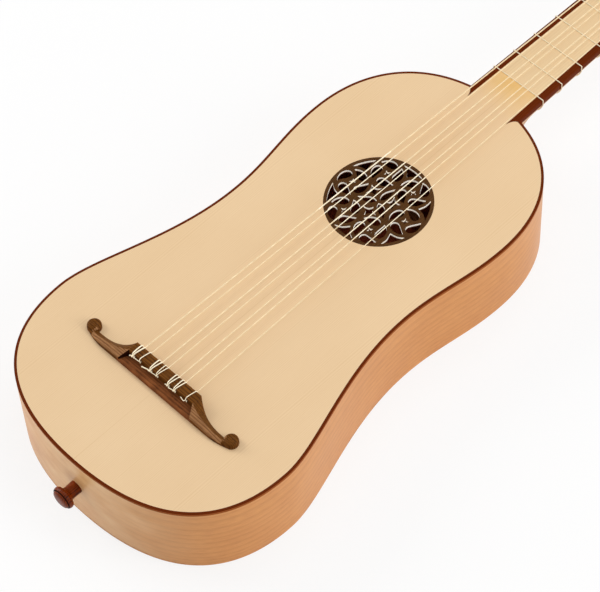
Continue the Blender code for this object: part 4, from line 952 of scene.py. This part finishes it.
def add_scroll(bm, side):
    """A round scroll end, domed, with a shallow volute carved in its top."""
    steps = 48

    def corner(radius, i, z):
        angle = 2 * pi * i / steps
        return bm.verts.new((side * (SCROLL_X + radius * cos(angle)), SCROLL_Y + radius * sin(angle), z))

    dome = [(0.03 + 0.57 * i / 16, 0.0) for i in range(17)]
    dome += [(0.68, 0.015), (0.76, 0.05), (0.83, 0.095), (0.89, 0.15), (0.945, 0.23), (0.98, 0.32),
             (1.0, 0.42)]
    rings = []
    for out, down in dome:
        radius = SCROLL_RADIUS * out
        share = min(radius / 0.0012, 1.0) * min(max((SCROLL_RADIUS - radius) / 0.001, 0.0), 1.0)
        ring = []
        for i in range(steps):
            phase = (radius / VOLUTE_PITCH - i / steps) % 1.0
            groove = VOLUTE_DEPTH * exp(-((phase - 0.5) / 0.15) ** 2) * share
            ring.append(corner(radius, i, BRIDGE_FOOT + SCROLL_HEIGHT * (1 - down) - groove))
        rings.append(ring)
    rings.append([corner(SCROLL_RADIUS, i, TOP - 0.0001) for i in range(steps)])
    for near, far in zip(rings, rings[1:]):
        skin(bm, near, far)
    for end in (0, -1):
        bm.faces.new(rings[end])


def bridge_look(face):
    """Painted shade at the pocket's ends, streaked on the ledge, painted light on the arms' back slopes.
    """
    reach, y, z = abs(face.center.x), face.center.y, face.center.z
    if abs(reach - BAR_HALF) < 0.004 and abs(face.normal.x) > 0.6 and y < BAR_BACK + 0.0006:
        return 3
    if reach < BAR_HALF + 0.0045 and z < LEDGE_TOP + 0.0007:
        return 2
    return BAR_HALF < reach < SCROLL_X - 0.003 and face.normal.z > 0.3 and face.normal.y < -0.05


def make_bridge():
    bm = bmesh.new()
    right = [((BAR_HALF - 0.0003) * i / 12, 1.0) for i in range(13)]
    right += [(between(BAR_HALF, SCROLL_X, i / 26), 0.0) for i in range(27)]
    places = [(-x, pocket) for x, pocket in right[:0:-1]] + right
    join_sections(bm, [bridge_section(x, pocket) for x, pocket in places])
    for side in (-1, 1):
        add_scroll(bm, side)
    mesh = finish_mesh(bm, "carved_bridge", 32.0)
    paint(mesh, ("walnut", "walnut_top", "walnut_ledge", "walnut_end"), bridge_look)
    piece(mesh, "walnut", "bridge")


def strip_sections(side):
    stations = [(y, x, SOUNDBOARD) for x, y in tip_curve()]
    stations += [(RIB_Y - 0.0001, NECK_HALF_AT_BODY, SOUNDBOARD), (RIB_Y, NECK_HALF_AT_BODY, STRIP_DEPTH)]
    stations += [(y, neck_half(y), STRIP_DEPTH) for y in (NECK_ROOT_Y, NECK_ROOT_Y + 0.1, NUT_Y)]
    sections = []
    for y, outer, depth in stations:
        inner = board_half(y)
        soft = min(0.0003, (outer - inner) / 3)
        ring = [(inner, 0.0), (outer - soft, 0.0), (outer - 0.3 * soft, 0.3 * soft), (outer, soft),
                (outer, depth), (inner, depth)]
        sections.append([(side * x, y, TOP - down) for x, down in ring])
    return sections


def neck_depth(y):
    share = (y - NECK_ROOT_Y) / (NUT_BACK_Y - NECK_ROOT_Y)
    depth = between(NECK_DEPTH_AT_BODY, NECK_DEPTH_AT_NUT, share)
    into_heel = 1 - (y - NECK_ROOT_Y) / HEEL_LENGTH
    if into_heel > 0:
        depth = between(depth, TOP - HEEL_LIFT, 1 - sqrt(1 - min(into_heel, 1.0) ** 2))
    return depth


def neck_round(y, outward=0.0, steps=32, sideways=0.0):
    """The neck's underside in section, an arc from the treble edge to the bass edge."""
    half = neck_half(y) + sideways
    start = TOP - STRIP_DEPTH
    drop = neck_depth(y) - STRIP_DEPTH + outward
    lean, sunk = NECK_SIDE_LEAN, sin(NECK_SIDE_LEAN)
    points = []
    for i in range(steps + 1):
        angle = lean + (pi - 2 * lean) * i / steps
        across = cos(angle) / cos(lean) if 2 * i != steps else 0.0
        points.append((half * across, start - drop * (sin(angle) - sunk) / (1 - sunk)))
    return points


def make_neck():
    heel_end = NECK_ROOT_Y + HEEL_LENGTH
    places = [NECK_ROOT_Y - 0.012] + [NECK_ROOT_Y + HEEL_LENGTH * (i / 16) ** 2 for i in range(17)]
    places += [between(heel_end, NUT_Y, i / 12) for i in range(1, 13)] + [NUT_BACK_Y]
    sections = []
    for y in places:
        shape = max(y, NECK_ROOT_Y)
        inner = board_half(shape)
        ring = [(-inner, TOP - STRIP_DEPTH), (-inner, TOP - SOUNDBOARD), (inner, TOP - SOUNDBOARD),
                (inner, TOP - STRIP_DEPTH)] + neck_round(shape)
        lean = tan(HEAD_TILT) if y == NUT_BACK_Y else 0.0
        sections.append([(x, y - (TOP - z) * lean, z) for x, z in ring])
    piece(loft("carved_neck", sections), "neck_wood", "neck")


def make_fingerboard():
    half = [(board_half(y), y) for y in (fret_y(FRETS), NUT_Y)]
    mesh = plate("board", half + mirrored(half, -1)[::-1], TOP - SOUNDBOARD, TOP)
    piece(mesh, "fingerboard_wood", "fingerboard")
    for side, end in SIDES:
        mesh = loft("dark_strip_" + end, strip_sections(side))
        piece(mesh, "dark_wood", "fingerboard_edge_" + end)


def make_nut():
    """The nut's CAD shape with softened edges."""
    bm = bmesh.new()
    bm.from_mesh(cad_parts["nut"].data)
    bmesh.ops.remove_doubles(bm, verts=bm.verts, dist=0.00001)
    bmesh.ops.dissolve_limit(bm, angle_limit=radians(1), verts=bm.verts, edges=bm.edges)
    edges = [e for e in bm.edges if len(e.link_faces) == 2 and e.calc_face_angle() > radians(40)]
    bmesh.ops.bevel(bm, geom=edges, offset=0.00015, segments=2, affect="EDGES", profile=0.5,
                    clamp_overlap=True)
    piece(finish_mesh(bm, "bone_nut"), "bone", "nut")


def head_outline():
    start = neck_half(NUT_Y)
    low, high = 0.45 * HEAD_SHOULDER, HEAD_LENGTH - HEAD_SHOULDER
    shoulder = [(start, 0), (start, low), (HEAD_HALF, low), (HEAD_HALF, HEAD_SHOULDER)]
    crown = [(HEAD_END_HALF, high), (1.02 * HEAD_END_HALF, HEAD_LENGTH - 0.002),
             (0.5 * HEAD_END_HALF, HEAD_LENGTH), (0, HEAD_LENGTH)]
    half = [bezier(shoulder, i / 16) for i in range(17)] + [bezier(crown, i / 20) for i in range(21)]
    half = [(p.x, p.y) for p in half]
    return half + mirrored(half[:-1], -1)[::-1]


def make_head():
    for name, node, look, bottom, top, soft in (
            ("head_veneer", "peghead_veneer", "veneer", -VENEER, 0.0, 0.0004),
            ("head_body", "peghead", "neck_wood", -VENEER - 0.0003 - HEAD_THICKNESS, -VENEER, 0.0)):
        mesh = plate(name, head_outline(), bottom, top, soft)
        mesh.transform(HEAD_PLACE)
        piece(mesh, look, node)


def peg_profile():
    """A peg from its top down: the end that carries the string, the collar, the stem and the grip."""
    collar = -VENEER - 0.0009 - HEAD_THICKNESS
    grip = collar - 0.0067
    body = [(0.0090, 0.0001), (0.00895, 0.0012), (0.0087, 0.0020), (0.0081, peg_radius(0.008)),
            (collar, peg_radius(collar))]
    body += [(collar - down / 1000, radius / 1000) for down, radius in (
        (0.1, 4.6), (0.4, 5.1), (1.1, 5.2), (1.8, 5), (2.2, 4.4), (2.6, 3.4), (3.4, 3), (5.7, 3.1))]
    profile = [(h, r, r) for h, r in body]
    for i in range(15):
        t = i / 14
        wide = 0.0034 + 0.0054 * sin(pi * min(t * 0.94 + 0.03, 1.0)) ** 0.75
        thick = 0.0029 + 0.0006 * sin(pi * t) - 0.0012 * t * t
        profile.append((grip - 0.0152 * t, wide, thick))
    return profile + [(grip - 0.0160, 0.0022, 0.0014), (grip - 0.0164, 0.0006, 0.0005)]


def make_pegs():
    for number, place in enumerate(peg_places(), 1):
        label = "peg_%d" % number
        mesh = loft("turned_" + label, turned(peg_profile(), 32, place), 50.0)
        piece(mesh, "peg_wood", label, "tuning_" + label)


def fret_path(y, radius):
    """A loop round the neck, loose enough for the wider part that it slides to."""
    away = radius + FRET_ROOM_BESIDE
    corner = [(neck_half(y) + away * cos(radians(a)), TOP + radius * sin(radians(a)))
              for a in (90, 60, 30, 0)]
    under = neck_round(y, radius + FRET_ROOM_BEHIND, 30, away)
    return [Vector((x, y, z)) for x, z in corner + under + mirrored(corner, -1)[::-1]]


def make_frets():
    for number in range(1, FRETS + 1):
        radius = between(FIRST_FRET, LAST_FRET, (number - 1) / (FRETS - 1))
        path = fret_path(fret_y(number), radius)
        mesh = gut_mesh("tied_gut_%d" % number, [path], radius, 10, True, "fret_gut")
        piece(mesh, "fret_gut", "fret_%d" % number, "tied_fret_%d" % number)


def make_end_pin():
    """The end pin, turned: its shaft, its round head and a groove near the head's edge."""
    place = Matrix.Translation((0, TAIL_Y, PIN_Z)) @ Matrix.Rotation(radians(90), 4, "X")
    shape = in_mm((-2, 4.5), (0, 4.5), (4, 4.4), (6.2, 4.4), (7.6, 4.7), (8.3, 5.4), (8.6, 6.6),
                  (9.2, 7.4), (10.2, 7.8), (11.2, 7.75), (12, 7.4), (12.4, 7), (12.35, 6.7), (12.7, 6.5),
                  (13.4, 6), (13.9, 4.9), (14.2, 3.4), (14.3, 1.6), (14.3, 0.2))
    mesh = loft("turned_pin", turned([(p.x, p.y) for p in smooth_line(shape, 3)], 48, place), 60.0)
    # The groove's faces take the near-black wood: painted shade.
    paint(mesh, ("pin_wood", "pin_groove"), lambda face: 0.0121 < TAIL_Y - face.center.y < 0.0127)
    piece(mesh, "pin_wood", "end_pin")


def dress_kept_nodes():
    """The pieces inside the body keep their CAD shapes and get their wood."""
    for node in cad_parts.values():
        if not node.hide_render:
            node.data.materials.clear()
            node.data.materials.append(LOOKS["inner_wood"])


def seen_by_eye(net):
    """1 where the camera sees a thing, straight or in a gloss or through a clear stuff, else 0."""
    ray = net.add("ShaderNodeLightPath").outputs
    return net.math("MAXIMUM", ray["Is Camera Ray"],
                    net.math("MAXIMUM", ray["Is Glossy Ray"], ray["Is Transmission Ray"]))


def make_floor():
    """A pale floor that glows to the eye, so that it is white and still takes a soft shadow."""
    net = new_look("pale_floor")
    net.tree.nodes.clear()
    fine = net.noise(net.scaled(net.add("ShaderNodeTexCoord").outputs["Object"], (30.0, 30.0, 30.0)))
    tone = net.blend(net.range(fine, 0.0, 1.0, 0.985, 1.0), BLACK, (0.93, 0.93, 0.93, 1.0))
    lit = net.shade("BsdfDiffuse", {0: tone})
    faint = net.shade("BsdfDiffuse", {0: net.blend(0.78, tone, BLACK)})
    both = net.shade("AddShader", {0: faint, 1: net.shade("Emission", {0: WHITE, 1: 0.8})})
    mix = net.shade("MixShader", {0: seen_by_eye(net), 1: lit, 2: both})
    net.add("ShaderNodeOutputMaterial", {0: mix})
    mesh = plate("floor", [(-4, -4), (4, -4), (4, 4), (-4, 4)], -0.02, -0.0002)
    mesh.materials.append(LOOKS["pale_floor"])
    new_object("floor", mesh)


def lamp(name, place, size, power):
    """A soft box that looks at the middle of the guitar."""
    light = bpy.data.lights.new(name, "AREA")
    light.shape = "RECTANGLE"
    light.size, light.size_y = size
    light.energy = power
    made = new_object(name, light)
    made.location = place
    aim = Vector((0.0, 0.0, 0.03)) - Vector(place)
    made.rotation_euler = aim.to_track_quat("-Z", "Y").to_euler()


def make_light():
    world = bpy.data.worlds.new("studio")
    bpy.context.scene.world = world
    world.use_nodes = True
    net = Net(world.node_tree)
    back = world.node_tree.nodes["Background"].inputs
    net.join(WHITE, back["Color"])
    net.join(net.range(seen_by_eye(net), 0.0, 1.0, 0.4, 1.0), back["Strength"])
    lamp("left_box", (-1.9, -0.6, 1.1), (1.2, 1.6), 23)
    lamp("right_box", (1.9, 0.7, 1.1), (1.2, 1.6), 21)
    lamp("over_box", (0.1, 0.7, 2.1), (1.6, 1.6), 12)


def make_camera():
    data = bpy.data.cameras.new("camera")
    data.sensor_width = 36.0
    data.lens = data.sensor_width * CAMERA_FOCUS
    data.clip_start, data.clip_end = 0.05, 20.0
    made = new_object("camera", data)
    made.matrix_world = (
        Matrix.Translation(CAMERA_AIM) @ Matrix.Rotation(CAMERA_TURN, 4, "Z")
        @ Matrix.Rotation(pi / 2 - CAMERA_LIFT, 4, "X") @ Matrix.Rotation(CAMERA_ROLL, 4, "Z")
        @ Matrix.Translation((0.0, 0.0, CAMERA_DISTANCE)))
    bpy.context.scene.camera = made


make_camera()
make_soundboard()
make_sides()
make_rose()
make_bridge()
make_strings()
make_neck()
make_fingerboard()
make_head()
make_nut()
make_pegs()
make_frets()
make_end_pin()
dress_kept_nodes()
make_floor()
make_light()
bpy.context.scene.view_settings.view_transform = "Standard"
